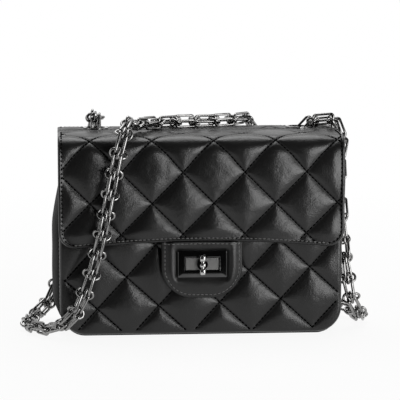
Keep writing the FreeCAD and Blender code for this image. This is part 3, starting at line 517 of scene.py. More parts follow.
# route of the strap from the left grommet to the right one, and the way it faces at each point
strapRoute = [
    ((-0.0730, 0.0155, 0.1380), (0, -1, 0)),
    ((-0.0730, 0.0160, 0.1490), (0, -0.85, 0.5)),
    ((-0.0728, 0.0295, 0.1520), (0, 0, 1)),
    ((-0.0740, 0.0427, 0.1460), (0, 0.85, 0.5)),
    ((-0.0766, 0.0463, 0.1310), (0, 1, 0)),
    ((-0.0805, 0.0435, 0.1080), (0, 1, 0)),
    ((-0.0850, 0.0435, 0.0800), (0, 1, 0)),
    ((-0.0920, 0.0435, 0.0520), (0, 1, 0)),
    ((-0.1010, 0.0420, 0.0260), (0, 1, -0.3)),
    ((-0.1110, 0.0330, 0.0090), (0, 0.4, -1)),
    ((-0.1210, 0.0160, 0.0050), (0, 0, -1)),
    ((-0.1230, -0.0060, 0.0050), (0, 0, -1)),
    ((-0.1140, -0.0270, 0.0055), (0, -0.3, -1)),
    ((-0.0985, -0.0400, 0.0090), (0, -0.8, -0.8)),
    ((-0.0875, -0.0430, 0.0210), (0, -1, -0.3)),
    ((-0.0810, -0.0420, 0.0360), (0, -1, 0)),
    ((-0.0745, -0.0420, 0.0570), (0, -1, 0)),
    ((-0.0693, -0.0450, 0.0790), (0, -1, 0)),
    ((-0.0650, -0.0454, 0.1010), (0, -1, 0)),
    ((-0.0605, -0.0454, 0.1230), (0, -1, 0)),
    ((-0.0560, -0.0440, 0.1430), (0, -1, 0.5)),
    ((-0.0510, -0.0310, 0.1520), (0, -0.2, 1)),
    ((-0.0450, -0.0110, 0.1484), (0, 0, 1)),
    ((-0.0330, 0.0070, 0.1478), (0, 0, 1)),
    ((-0.0130, 0.0175, 0.1478), (0, 0, 1)),
    ((0.0080, 0.0200, 0.1478), (0, 0, 1)),
    ((0.0240, 0.0250, 0.1478), (0.1, 0.1, 1)),
    ((0.0370, 0.0350, 0.1484), (0.2, 0.3, 0.9)),
    ((0.0435, 0.0445, 0.1420), (0.5, 0.7, 0.6)),
    ((0.0460, 0.0470, 0.1290), (0.4, 0.9, 0.1)),
    ((0.0540, 0.0445, 0.1060), (0.1, 1, 0)),
    ((0.0640, 0.0435, 0.0800), (0, 1, 0)),
    ((0.0760, 0.0435, 0.0520), (0, 1, 0)),
    ((0.1025, 0.0362, 0.0084), (-0.05, 0.47, -1.04)),
    ((0.1176, 0.0226, 0.0053), (-0.09, 0.21, -1.07)),
    ((0.1188, 0.0004, 0.0059), (0.14, -0.41, -1.1)),
    ((0.1105, -0.0115, 0.0170), (-0.2, -1.14, -0.49)),
    ((0.1052, -0.0110, 0.0420), (0.2, -1, 0)),
    ((0.1034, -0.0060, 0.0660), (0.5, -0.9, 0)),
    ((0.1026, 0.0005, 0.0920), (0.8, -0.6, 0)),
    ((0.1028, 0.0090, 0.1180), (1, -0.2, 0)),
    ((0.1056, 0.0145, 0.1415), (1, 0, 0.3)),
    ((0.0990, 0.0155, 0.1488), (0.2, 0, 1)),
    ((0.0840, 0.0156, 0.1474), (-0.3, 0, 1)),
    ((0.0742, 0.0155, 0.1462), (-0.9, 0, 0.5)),
    ((0.0730, 0.0155, 0.1380), (-1, 0, 0)),
]
chain = {
    "wire": 0.0019, "ringRadius": 0.0034, "ringOffset": 0.0025, "lean": 28.0, "halfWidth": 0.0023,
    "roll": 82.0, "slack": 0.00125, "pairs": 64, "splits": (5, 39), "width": 0.012, "middleShare": 0.58,
    "pitchBetween": (0.012, 0.016),
}


def splinePoints(name, controls):
    line = bpy.data.curves.new(name, "CURVE")
    line.dimensions = "3D"
    spline = line.splines.new("NURBS")
    spline.points.add(len(controls) - 1)
    for point, spot in zip(spline.points, controls):
        point.co = (*spot, 1)
    spline.order_u = 3
    spline.use_endpoint_u = True
    spline.resolution_u = 16
    holder = addObject(name, line)
    spots = [vertex.co.copy() for vertex in bpy.data.meshes.new_from_object(holder).vertices]
    bpy.data.objects.remove(holder)
    return spots


def halved(low, high, rounds, isBelow):  # closes in on the place where isBelow turns false
    for _ in range(rounds):
        middle = (low + high) / 2
        if isBelow(middle):
            low = middle
        else:
            high = middle
    return low, high


# stops one pitch apart along the spline's points, measured straight from stop to stop
def walkStrap(line, facings, pitch):
    stops = [(line[0], facings[0])]
    for spot, ahead, facing, aheadFacing in zip(line, line[1:], facings, facings[1:]):
        while (ahead - stops[-1][0]).length >= pitch:
            share = halved(0.0, 1.0, 30, lambda t: (spot.lerp(ahead, t) - stops[-1][0]).length < pitch)[1]
            stops.append((spot.lerp(ahead, share), facing.lerp(aheadFacing, share)))
    return stops


def strapStops(line, facings):  # the widest pitch that still gives every pair of rings a stop
    count = chain["pairs"]
    pitch = halved(*chain["pitchBetween"], 40, lambda p: len(walkStrap(line, facings, p)) >= count)[0]
    return walkStrap(line, facings, pitch)[:count], pitch


def turned(alongWay, normalWay):
    third = normalWay.normalized()
    first = (alongWay - third * alongWay.dot(third)).normalized()
    return Matrix((first, third.cross(first), third)).transposed().to_quaternion()


# where each ring and link lies: its stop, whether it is a link, its middle, turn and share of full length
def strapPlaces(stops):
    frames = []
    last = len(stops) - 1
    for index, (spot, facing) in enumerate(stops):
        along = (stops[min(index + 1, last)][0] - stops[max(index - 1, 0)][0]).normalized()
        across = along.cross(facing).normalized()
        frames.append((spot, along, across, across.cross(along)))
    lean, roll = math.radians(chain["lean"]), math.radians(chain["roll"])
    radius, offset = chain["ringRadius"], chain["ringOffset"]
    places = []
    for index, (spot, along, across, facing) in enumerate(frames):
        sign = 1 if index % 2 else -1
        if 0 < index < last:
            places.append((index, True, spot, turned(along, along.cross(facing)), chain["middleShare"]))
        for side in (-1, 1):
            rise = along * math.cos(lean) - facing * (side * sign * math.sin(lean))
            centre = spot + across * (side * offset)
            places.append((index, False, centre, turned(rise, rise.cross(across)), 1.0))
            if index == last:
                continue
            aheadSpot, aheadAlong, aheadAcross, aheadFacing = frames[index + 1]
            aheadRise = aheadAlong * math.cos(lean) + aheadFacing * (side * sign * math.sin(lean))
            start = centre + rise * radius
            end = aheadSpot + aheadAcross * (side * offset) - aheadRise * radius
            inward = (across + aheadAcross) * -side
            outward = (facing + aheadFacing) * (-side * sign)
            broad = inward * math.cos(roll) + outward * math.sin(roll)
            run = end - start
            places.append((index, True, (start + end) / 2, turned(run, run.cross(broad)), 1.0))
    return places


def pointMesh(name, places):
    mesh = bpy.data.meshes.new(name)
    mesh.from_pydata([place[2] for place in places], [], [])
    for label, kind in (("turn", "QUATERNION"), ("isLink", "BOOLEAN"), ("share", "FLOAT")):
        mesh.attributes.new(label, kind, "POINT")
    for i, (_, isLink, _, turn, share) in enumerate(places):
        for label, value in (("turn", turn), ("isLink", isLink), ("share", share)):
            mesh.attributes[label].data[i].value = value
    return mesh


def lengthOf(path):
    return sum((b - a).length for a, b in zip(path, path[1:]))


def makeStrap():
    line = splinePoints("strapLine", [spot for spot, _ in strapRoute])
    facings = splinePoints("strapFacing", [facing for _, facing in strapRoute])
    stops, pitch = strapStops(line, facings)
    places = strapPlaces(stops)
    last = len(stops) - 1
    splits = (0, *chain["splits"], last + 1)
    linkLength = pitch + 2 * (
        chain["wire"] + chain["slack"] - chain["ringRadius"] * math.cos(math.radians(chain["lean"]))
    )
    sizes = {
        "Wire": chain["wire"], "Ring radius": chain["ringRadius"], "Link half width": chain["halfWidth"],
        "Link length": linkLength, "Material": gunmetal,
    }
    linkMaker = linkTree()
    for label, first, end in zip(("left", "front", "right"), splits, splits[1:]):
        members = [place for place in places if first <= place[0] < end]
        piece = growPiece("strap_" + label, pointMesh("strap_" + label, members), linkMaker, sizes)
        settle(piece, "chain", "shell", f"strap_{label}_rings", f"strap_{label}_long_links")
        if label == "front":
            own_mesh(piece)
        path = [spot for spot, _ in stops[first: min(end, last) + 1]]
        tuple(path[0])
        lengthOf(path)
    print(f"strap made: {lengthOf(line):.3f} m, pitch {pitch:.5f} m, links {linkLength:.5f} m long")


makeStrap()


# quilting

# share of full puff, distance to the nearest seam and the cell's own number from 0 to 1, for a pattern
# with a crossing at 0, 0
def quiltAt(p, q, period):
    a, b = (p + q) / period, (p - q) / period
    near = min(abs(a - round(a)), abs(b - round(b))) * period / math.sqrt(2)
    first, second = abs(math.sin(math.pi * a)), abs(math.sin(math.pi * b))
    swell = math.sqrt(2) * first * second / (math.hypot(first, second) + 1e-9)  # straight slopes, round top
    cell = math.sin(math.floor(a) * 12.9898 + math.floor(b) * 78.233) * 43758.5453
    return swell, near, cell - math.floor(cell)


# lineWidth: width of the painted shade along each seam
quilt = {
    "seamDepth": 2.2, "grooveDepth": 0.5, "grooveWidth": 0.7, "lineWidth": 0.75, "cellSpread": 0.2,
    "rimLevel": -0.5, "rimDip": 0.8, "wrinkle": (0.28, 11, 1.7), "pebble": (0.07, 3.4, 5.1),
}


# height over the panel's face, and how much the seam's dark line shows; that line is painted shade of the
# sunken seam
def quiltHeight(p, q, period, rise, fade):
    swell, near, odd = quiltAt(p, q, period)
    lift = rise * (1 + quilt["cellSpread"] * (odd - 0.5)) * swell - quilt["seamDepth"]
    lift += ripple(p, q, *quilt["wrinkle"]) * min(1, swell * 1.5) + ripple(p, q, *quilt["pebble"])
    rim = quilt["rimLevel"] - quilt["rimDip"] * (1 - swell)
    groove = quilt["grooveDepth"] * hump(near, quilt["grooveWidth"])
    shows = min(1, fade * 3)
    return rim + (lift - rim) * fade - groove * shows, hump(near, quilt["lineWidth"]) * shows


# flap

flap = {
    "half": 100.5, "hinge": (2.2, 140.5), "roll": 2.5, "top": 143.0, "flat": 27.8,
    "foldMiddle": (-25.6, 130.0), "fold": 13.0, "face": -38.6, "thick": 5.0, "thinner": 0.5,
    "edge": 64.0, "crown": 4.5, "arch": 872.5, "corner": 12.0, "stitchIn": 2.5, "level": -0.35,
    "period": 43.4, "quiltX": -13.3, "quiltZ": 117.1, "topStretch": 1.15, "rise": 2.9, "topShare": 0.45,
    "root": (1, 8), "hem": (1.6, 3.6), "fade": (2.2, 10), "settle": (0, 8), "overFold": 6,
    "cells": 44, "rollRows": 5, "scaledFrom": 80.0, "scaledRows": 12,
}
turnedEdge = {"drop": 1.5, "over": 1.3, "pull": 0.25, "width": 0.7}
edgeSteps = [0, 0.25, 0.7, 1.3, 1.9, 2.5, 3.2, 4.0]
dropStart = flap["flat"] + flap["fold"] * math.pi / 2  # where the flap's front begins, along its length
rollLength = flap["roll"] * math.pi / 2


def flapDown(z):  # place along the flap's length of a height on its front
    return dropStart + flap["foldMiddle"][1] - z


quiltStart = flapDown(flap["quiltZ"])


def flapEdgeZ(x):
    x = abs(x)
    inner = flap["half"] - flap["corner"]
    if x <= inner:
        return flap["edge"] + flap["crown"] - (flap["arch"] - math.sqrt(flap["arch"] ** 2 - x * x))
    foot = flap["edge"] + flap["corner"]
    return foot - math.sqrt(max(0.0, flap["corner"] ** 2 - (x - inner) ** 2))


def flapEdgeS(x):
    return flapDown(flapEdgeZ(x))


def flapRow(s):  # place in the quilt pattern, whose rows over the fold and the top are longer
    return (s - quiltStart) / (flap["topStretch"] if s < quiltStart else 1)


def flapLength(row):
    return quiltStart + row * (flap["topStretch"] if row < 0 else 1)


def flapMargin(x, s):  # distance to the flap's sides and lower edge
    side = flap["half"] - abs(x)
    if s < dropStart:
        return side
    z = flap["foldMiddle"][1] - (s - dropStart)
    inner = flap["half"] - flap["corner"]
    foot = flap["edge"] + flap["corner"]
    if abs(x) > inner and z < foot:
        return max(0.0, flap["corner"] - math.hypot(abs(x) - inner, z - foot))
    return max(0.0, min(side, z - flapEdgeZ(x)))


def flapPoint(x, s, lift, inside=False):
    hingeY, hingeZ = flap["hinge"]
    if s <= 0:
        angle = math.pi / 2 * (1 + s / rollLength)
        reach = flap["roll"] + (0 if inside else lift)
        turn = -1 if inside else 1
        return (x, hingeY + reach * math.cos(angle), hingeZ + turn * reach * math.sin(angle))
    if s <= flap["flat"]:
        return (x, hingeY - s, flap["top"] + lift)
    midY, midZ = flap["foldMiddle"]
    if s <= dropStart:
        angle = (s - flap["flat"]) / flap["fold"]
        reach = flap["fold"] + lift
        return (x, midY - reach * math.sin(angle), midZ + reach * math.cos(angle))
    return (x, flap["face"] - lift, midZ - (s - dropStart))


def edgeRoll(margin, stitchIn):  # turned edge: rounded at the rim, pulled in at the stitch row
    rim = -turnedEdge["drop"] * (1 - min(1.0, margin / turnedEdge["over"])) ** 2
    return rim - turnedEdge["pull"] * hump(margin - stitchIn, turnedEdge["width"])


def flapHeight(x, s):
    if s <= 0:
        return 0.0, 0.0
    margin = flapMargin(x, s)
    fromRoot = smooth(*flap["root"], s)
    onFront = smooth(flap["flat"] + flap["overFold"], dropStart + flap["overFold"], s)
    fade = smooth(*flap["fade"], margin) * fromRoot * (flap["topShare"] + (1 - flap["topShare"]) * onFront)
    inner = smooth(*flap["hem"], margin) * fromRoot
    high, seam = quiltHeight(x - flap["quiltX"], flapRow(s), flap["period"], flap["rise"], fade)
    level = flap["level"] * smooth(*flap["settle"], s)
    return level + (high - level) * inner + edgeRoll(margin, flap["stitchIn"]), seam * inner


def makeFlap():
    half, start, rim = flap["half"], flap["quiltX"], edgeSteps[-1] + 0.5
    step = flap["period"] / flap["cells"]
    first, last = math.ceil((-half + rim - start) / step), math.floor((half - rim - start) / step)
    middle = [start + step * i for i in range(first, last + 1)]
    columns = [-half + d for d in edgeSteps] + middle + [half - d for d in reversed(edgeSteps)]
    fixed = [-rollLength * (1 - i / flap["rollRows"]) for i in range(flap["rollRows"])]
    first, last = math.ceil(flapRow(0.01) / step), math.floor(flapRow(flapDown(flap["scaledFrom"])) / step)
    fixed += [flapLength(step * i) for i in range(first, last)]
    rows = [[s] * len(columns) for s in fixed]
    ends = [flapEdgeS(x) for x in columns]
    start, count = fixed[-1], flap["scaledRows"]
    for i in range(count + 1):
        rows.append([start + step + (end - edgeSteps[-1] - start - step) * i / count for end in ends])
    for d in reversed(edgeSteps[:-1]):
        rows.append([end - d for end in ends])

    def underside(x, s):
        thinner = flap["thinner"] * (1 - min(1, flapMargin(x, s))) * (s > 0)
        return flapPoint(x, s, thinner - flap["thick"], True)

    front, back, marks = [], [], []
    for row in rows:
        heights = [flapHeight(x, s) for x, s in zip(columns, row)]
        front.append([flapPoint(x, s, high) for x, s, (high, _) in zip(columns, row, heights)])
        # the seam marks paint shade along the quilt lines
        marks.append([seam for _, seam in heights])
        back.append([underside(x, s) for x, s in zip(columns, row)])
    piece = slab("flap_quilt", front, back, quiltLeather, marks=marks, sharp=60)
    settle(piece, "leather", "flap", "flap_outer")
    print("flap made:", len(piece.data.polygons), "faces")


makeFlap()

flapInside = {
    "half": 98.5, "rear": 4.0, "near": -5.05, "far": -6.0, "margin": 2.0, "notch": (28.7, 78.7),
    "cell": 3.5, "rowCells": (3, 1.6, 3), "notchRows": 6, "uneven": (0.12, 14, 2.2),
}


def makeFlapLining():
    half, cell, count = flapInside["half"], flapInside["cell"], flapInside["notchRows"]
    notchX, notchZ = flapInside["notch"]
    columns = steps(-half, -notchX, cell) + steps(-notchX, notchX, cell)[1:] + steps(notchX, half, cell)[1:]
    notchS = flapDown(notchZ)
    turns = (flapInside["rear"], flap["flat"], dropStart, notchS)
    fixed = [turns[0]]
    for first, last, size in zip(turns, turns[1:], flapInside["rowCells"]):
        fixed += steps(first, last, size)[1:]
    rows = [[s] * len(columns) for s in fixed]
    for i in range(1, count + 1):
        rows.append([notchS + (flapEdgeS(x) - flapInside["margin"] - notchS) * i / count for x in columns])

    def sheetGrid(lift):
        return [
            [flapPoint(x, s, lift + ripple(x, s, *flapInside["uneven"])) for x, s in zip(columns, row)]
            for row in rows
        ]

    def keep(i, j):
        return not (i >= len(fixed) - 1 and abs(columns[j] + columns[j + 1]) / 2 < notchX)

    near, far = sheetGrid(flapInside["near"]), sheetGrid(flapInside["far"])
    settle(slab("flap_lining_sheet", near, far, liningLeather, keep), "lining", "flap", "flap_lining")


makeFlapLining()
print("flap lining made")


# panels with rounded lower corners

def panelRows(spec, top, size):
    bend = [spec["low"] + spec["corner"] * (1 - math.cos(t)) for t in quarter(24)[:-1]]
    return bend + steps(spec["low"] + spec["corner"], top, size)


def panelHalf(z, spec):
    low, half, corner = spec["low"], spec["half"], spec["corner"]
    if z >= low + corner:
        return half
    return half - corner + math.sqrt(max(0.0, corner ** 2 - (low + corner - z) ** 2))


def panelMargin(x, z, spec):
    low, half, corner = spec["low"], spec["half"], spec["corner"]
    if z < low + corner and abs(x) > half - corner:
        return max(0.0, corner - math.hypot(abs(x) - (half - corner), z - low - corner))
    return max(0.0, min(half - abs(x), z - low))


def panelGrid(rows, columns, spec):  # columns are drawn in where the panel is narrower
    shares = [x / spec["half"] for x in columns]
    return [[(share * panelHalf(z, spec), z) for share in shares] for z in rows]


lockMiddle = 52.4
panel = {
    "low": 1.0, "half": 100.0, "corner": 18.0, "edge": 3.0, "rimEase": 0.4, "period": 43.4,
    "fadeSide": (2, 14),
}
frontPanel = {
    **panel, "top": 134.0, "face": -31.0, "back": -26.0, "outward": -1, "rise": 3.0, "cell": 0.85,
    "crossing": (33.8, 46.1), "tilt": 2.6, "fadeTop": (0, 10),
    "sewnTo": 4, "sewReach": 220, "lockClear": (18, 10),
}
backPanel = {
    **panel, "top": 139.0, "face": 31.0, "back": 26.0, "outward": 1, "rise": 2.9, "cell": 0.9864,
    "crossing": (0.0, 71.0), "tilt": 0.0, "fadeTop": (1, 9),
    "sewnTo": 3, "sewReach": 200, "lockClear": (0, 0),
}
pressed = {
    "full": 3.2, "under": 2.2, "soft": 0.35, "flapFrom": (58, 66), "tabSide": (29, 36), "tabFrom": (23, 30),
    "lockSide": (16, 20), "lockRise": (8.5, 12), "lockLevel": -0.15,
}


def pressedHeight(high, x, z):  # the front lies lower under the flap and the tab, and flat under the lock
    underTab = (1 - smooth(*pressed["tabSide"], abs(x))) * smooth(*pressed["tabFrom"], z)
    cap = pressed["full"] - pressed["under"] * max(smooth(*pressed["flapFrom"], z), underTab)
    soft = pressed["soft"]
    if high > cap - soft:
        high = min(high, cap - soft + soft * math.tanh((high - cap + soft) / soft))
    besideLock = smooth(*pressed["lockSide"], abs(x))
    overLock = smooth(*pressed["lockRise"], abs(z - lockMiddle))
    return high + (pressed["lockLevel"] - high) * ((1 - besideLock) * (1 - overLock))


def panelHeight(spec, x, z):
    margin = panelMargin(x, z, spec)
    tilt = math.radians(spec["tilt"])
    dx, dz = x - spec["crossing"][0], z - spec["crossing"][1]
    p = dx * math.cos(tilt) + dz * math.sin(tilt)
    q = -dx * math.sin(tilt) + dz * math.cos(tilt)
    fade = smooth(*spec["fadeSide"], margin) * smooth(*spec["fadeTop"], spec["top"] - z)
    high, seam = quiltHeight(p, q, spec["period"], spec["rise"], fade)
    if spec is frontPanel:
        high = pressedHeight(high, x, z)
    edge = spec["edge"]
    rim = edge - math.sqrt(edge ** 2 - (edge - min(edge, margin)) ** 2)
    return high - rim * (1 - spec["rimEase"] * smooth(0, edge, margin)), seam


def makePanel(name, node, spec):
    columns = edged(-spec["half"], spec["half"], edgeSteps, spec["cell"])
    grid = panelGrid(panelRows(spec, spec["top"], spec["cell"]), columns, spec)
    heights = [[panelHeight(spec, x, z) for x, z in row] for row in grid]
    front = [
        [(x, spec["face"] + spec["outward"] * high, z) for (x, z), (high, _) in zip(row, line)]
        for row, line in zip(grid, heights)
    ]
    # the seam marks paint shade along the quilt lines
    marks = [[seam for _, seam in line] for line in heights]
    piece = slab(name, front, upright(grid, spec["back"]), quiltLeather, marks=marks, sharp=60)
    settle(piece, "leather", "shell", node)
    print(name, "made:", len(piece.data.polygons), "faces")


makePanel("front_quilt", "front_panel", frontPanel)
makePanel("back_quilt", "back_panel", backPanel)


# gusset and its lining

gussetStrip = {
    "half": 98.0, "corner": 16.0, "top": 130.0, "floor": 0.0, "thick": 2.5, "front": -26.0, "rear": 26.0,
    "leftBulge": 7.2, "rightBulge": 0.6, "bulgeFrom": (3.0, 26.0), "bulgeTo": (74.0, 124.0),
    "roundness": 0.7, "uneven": (0.5, 21, 4.4), "unevenFrom": (4, 20), "aboveFloor": (2, 20),
    "rimDrop": 0.5, "seam": (0.4, 2.6, 0.8), "cell": (2.5, 2.0), "edges": (0, 0.4, 1.0, 1.8, 2.6, 3.6),
}
gussetLining = {
    "half": 95.4, "corner": 13.4, "top": 130.0, "floor": 4.0, "thick": 0.8, "front": -26.0, "rear": 26.0,
    "cell": 4.0, "inside": (0.3, 0.15), "uneven": (0.25, 16, 6.1),
}


# points down the left side, along the bottom and up the right side, each with its outward direction
def stripPath(spec, size, below=0):
    half, corner, floor, top = spec["half"], spec["corner"], spec["floor"], spec["top"] - below
    foot = floor + corner
    path = [(-half, z, -1.0, 0.0) for z in steps(top, foot, size)[:-1]]
    bend = [(math.cos(t), math.sin(t)) for t in quarter(12)]
    path += [(-half + corner - corner * c, foot - corner * s, -c, -s) for c, s in bend]
    path += [(x, floor, 0.0, -1.0) for x in steps(corner - half, half - corner, size)[1:-1]]
    path += [(half - corner + corner * s, foot - corner * c, s, -c) for c, s in bend]
    return path + [(half, z, 1.0, 0.0) for z in steps(foot, top, size)[1:]]


def gussetSwell(x, y, z):
    spec = gussetStrip
    across = max(0.0, 1 - (y / spec["rear"]) ** 2)
    rising = smooth(*spec["bulgeFrom"], z) * (1 - smooth(*spec["bulgeTo"], z))
    full = spec["leftBulge"] if x < 0 else spec["rightBulge"]
    crease = ripple(y, z, *spec["uneven"]) * across * smooth(*spec["unevenFrom"], z)
    return full * rising * across ** spec["roundness"] + crease * rising


def makeGusset():
    spec = gussetStrip
    alongCell, acrossCell = spec["cell"]
    path = stripPath(spec, alongCell)
    ys = edged(spec["front"], spec["rear"], spec["edges"], acrossCell)
    seamDepth, seamIn, seamWidth = spec["seam"]

    def dip(y):  # along the rims
        edge = spec["rear"] - abs(y)
        return spec["rimDrop"] * (1 - min(1, edge)) ** 2 + seamDepth * hump(edge - seamIn, seamWidth)

    def sheet(offset):
        grid = []
        for x, z, nx, nz in path:
            sunk = 0 if offset else smooth(*spec["aboveFloor"], z)
            outs = [offset + gussetSwell(x, y, z) * abs(nx) - dip(y) * sunk for y in ys]
            grid.append([(x + nx * out, y, z + nz * out) for y, out in zip(ys, outs)])
        return grid

    piece = slab("gusset_strip", sheet(0), sheet(-spec["thick"]), sideLeather, sharp=50)
    settle(piece, "leather", "shell", "gusset")


def makeGussetLining():
    spec = gussetLining
    path = stripPath(spec, spec["cell"])
    ys = steps(spec["front"], spec["rear"], spec["cell"])
    sideIn, floorIn = spec["inside"]

    def sheet(offset):
        grid = []
        for x, z, nx, nz in path:
            outs = [offset - sideIn - ripple(y, z + x, *spec["uneven"]) for y in ys]
            grid.append([(x + nx * out, y, z + nz * (offset - floorIn)) for y, out in zip(ys, outs)])
        return grid

    piece = slab("gusset_lining_strip", sheet(0), sheet(-spec["thick"]), liningLeather)
    settle(piece, "lining", "shell", "lining_gusset")


makeGusset()
makeGussetLining()
print("gusset made")


# inside: lining walls, binding, pockets and zip

wall = {
    "half": 94.4, "low": 5.0, "corner": 12.4, "cell": (3.6, 3.2), "uneven": (0.1, 19, 7.7),
    "front": (134.0, -25.2, -26.0), "back": (137.9, 24.2, 25.0),  # top, face and rear
}
zipLine = {
    "height": 104.0, "slot": (66.0, 4.0), "tape": (72.0, 1.2, 9.8), "face": 23.6, "rear": 24.2,
    "rows": (0, 0.5, 1.2, 2.4, 4, 5.6, 7.2, 8.4, 9.2), "cell": 3, "bead": (0.25, 0.5, 0.6),
}
slipPocket = {
    "half": 58, "low": 22, "hem": 92, "hemRows": [92.8, 93.6, 94.4, 95.2, 96], "hemThick": 0.35,
    "face": -24.2, "back": -25.15, "gape": 1.6, "gapeFrom": (60, 96), "uneven": (0.12, 12, 8.3),
    "cell": (3.0, 3.2),
}
zipPouch = {"half": 70, "low": 30, "top": 116, "face": 25.05, "back": 25.95, "cell": 4}
binding = {"half": 95, "middle": (-26.6, 134.0), "reach": (1.4, 1.0), "cell": 5}


def makeWall(name, node, top, faceY, rearY, slot=None):
    columnCell, rowCell = wall["cell"]
    rows = panelRows(wall, top, rowCell)
    columns = steps(-wall["half"], wall["half"], columnCell)
    if slot:
        rows = sorted(set(rows + [zipLine["height"] - slot[1], zipLine["height"] + slot[1]]))
        columns = sorted(set(columns + [-slot[0], slot[0]]))
    grid = panelGrid(rows, columns, wall)
    keep = roundWindow(grid, *slot, zipLine["height"]) if slot else None
    face = faceY if slot else lambda x, z: faceY + ripple(x, z, *wall["uneven"])
    piece = slab(name, upright(grid, face), upright(grid, rearY), liningLeather, keep)
    settle(piece, "lining", "shell", node)


def flatPiece(name, material, xs, zs, front, back):
    grid = [[(x, z) for x in xs] for z in zs]
    return slab(name, upright(grid, front), upright(grid, back), material)


def makeSlipPocket():  # its hem gapes a little
    spec = slipPocket

    def gape(x, z):
        full = spec["gape"] * smooth(*spec["gapeFrom"], z)
        return full * (1 - (x / spec["half"]) ** 2) + ripple(x, z, *spec["uneven"])

    columnCell, rowCell = spec["cell"]
    xs = steps(-spec["half"], spec["half"], columnCell)
    zs = steps(spec["low"], spec["hem"], rowCell) + spec["hemRows"]
    piece = flatPiece(
        "slip_pocket_sheet", liningLeather, xs, zs,
        lambda x, z: spec["face"] + gape(x, z) + (spec["hemThick"] if z > spec["hem"] else 0),
        lambda x, z: spec["back"] + gape(x, z),
    )
    settle(piece, "lining", "shell", "slip_pocket")


def makeZipPocket():
    spec = zipPouch
    xs, zs = steps(-spec["half"], spec["half"], spec["cell"]), steps(spec["low"], spec["top"], spec["cell"])
    pouch = flatPiece("zip_pouch_sheet", liningLeather, xs, zs, spec["face"], spec["back"])
    settle(pouch, "lining", "shell", "zip_pouch")
    height, (tapeHalf, parting, tapeWide) = zipLine["height"], zipLine["tape"]
    beadHigh, beadIn, beadWide = zipLine["bead"]

    def tapeFace(x, z):  # a bead along the parting
        return zipLine["face"] - beadHigh * hump(abs(z - height) - parting - beadIn, beadWide)

    xs = steps(-tapeHalf, tapeHalf, zipLine["cell"])
    for side, name in ((-1, "zip_tape_lower"), (1, "zip_tape_upper")):
        zs = sorted(height + side * (parting + d) for d in (*zipLine["rows"], tapeWide))
        tape = flatPiece(name + "_band", zipTape, xs, zs, tapeFace, zipLine["rear"])
        settle(tape, "tape", "shell", name)


def makeBinding():
    middleY, middleZ = binding["middle"]
    reachY, reachZ = binding["reach"]
    bend = [math.pi * k / 8 for k in range(9)]
    rings = [
        [(x, middleY + reachY * math.cos(t), middleZ + reachZ * max(0.0, math.sin(t))) for t in bend]
        for x in steps(-binding["half"], binding["half"], binding["cell"])
    ]
    piece = ringLoft("mouth_binding_strip", rings, edgeLeather, endless=False)
    settle(piece, "leather", "shell", "mouth_binding")


makeWall("lining_front_wall", "lining_front", *wall["front"])
makeWall("lining_back_wall", "lining_back", *wall["back"], zipLine["slot"])
makeSlipPocket()
makeZipPocket()
makeBinding()

teeth = {
    "pitch": 0.0016, "size": (0.00055, 0.0007, 0.0014), "shift": 0.0010,
    "half": 0.066, "y": 0.0229, "z": 0.104,
}


def makeTeeth():
    line = bpy.data.meshes.new("zip_teeth_row")
    line.from_pydata([(x, teeth["y"], teeth["z"]) for x in (-teeth["half"], teeth["half"])], [(0, 1)], [])
    values = {"Pitch": teeth["pitch"], "Size": teeth["size"], "Shift": teeth["shift"], "Material": gunmetal}
    settle(growPiece("zip_teeth_row", line, teethTree(), values), "chain", "shell", "zip_teeth")


makeTeeth()
print("inside made")


# top yoke

yoke = {
    "half": 100.5, "front": 5.3, "rear": 31.0, "low": 139.0, "top": 143.0, "roll": 1.8, "hole": 7.6,
    "grommets": (73.0, 15.5), "groove": 0.3, "swell": 0.9, "swellFrom": (2, 9), "clear": (9, 15),
    "seam": (0.3, 2.4, 0.7), "seamClear": (9, 11), "quiltFrom": (2.6, 4.5), "rim": (0.5, 0.8),
    "uneven": (0.12, 13, 9.1), "cell": 1.0, "sides": (0, 0.3, 0.8, 1.6, 2.4, 3.4),
    "frontRows": (0, 0.3, 0.8, 1.6, 2.4, 3.2), "rearRows": (0, 0.1, 0.4, 0.9, 1.4, 2.0, 2.6, 3.2),
}


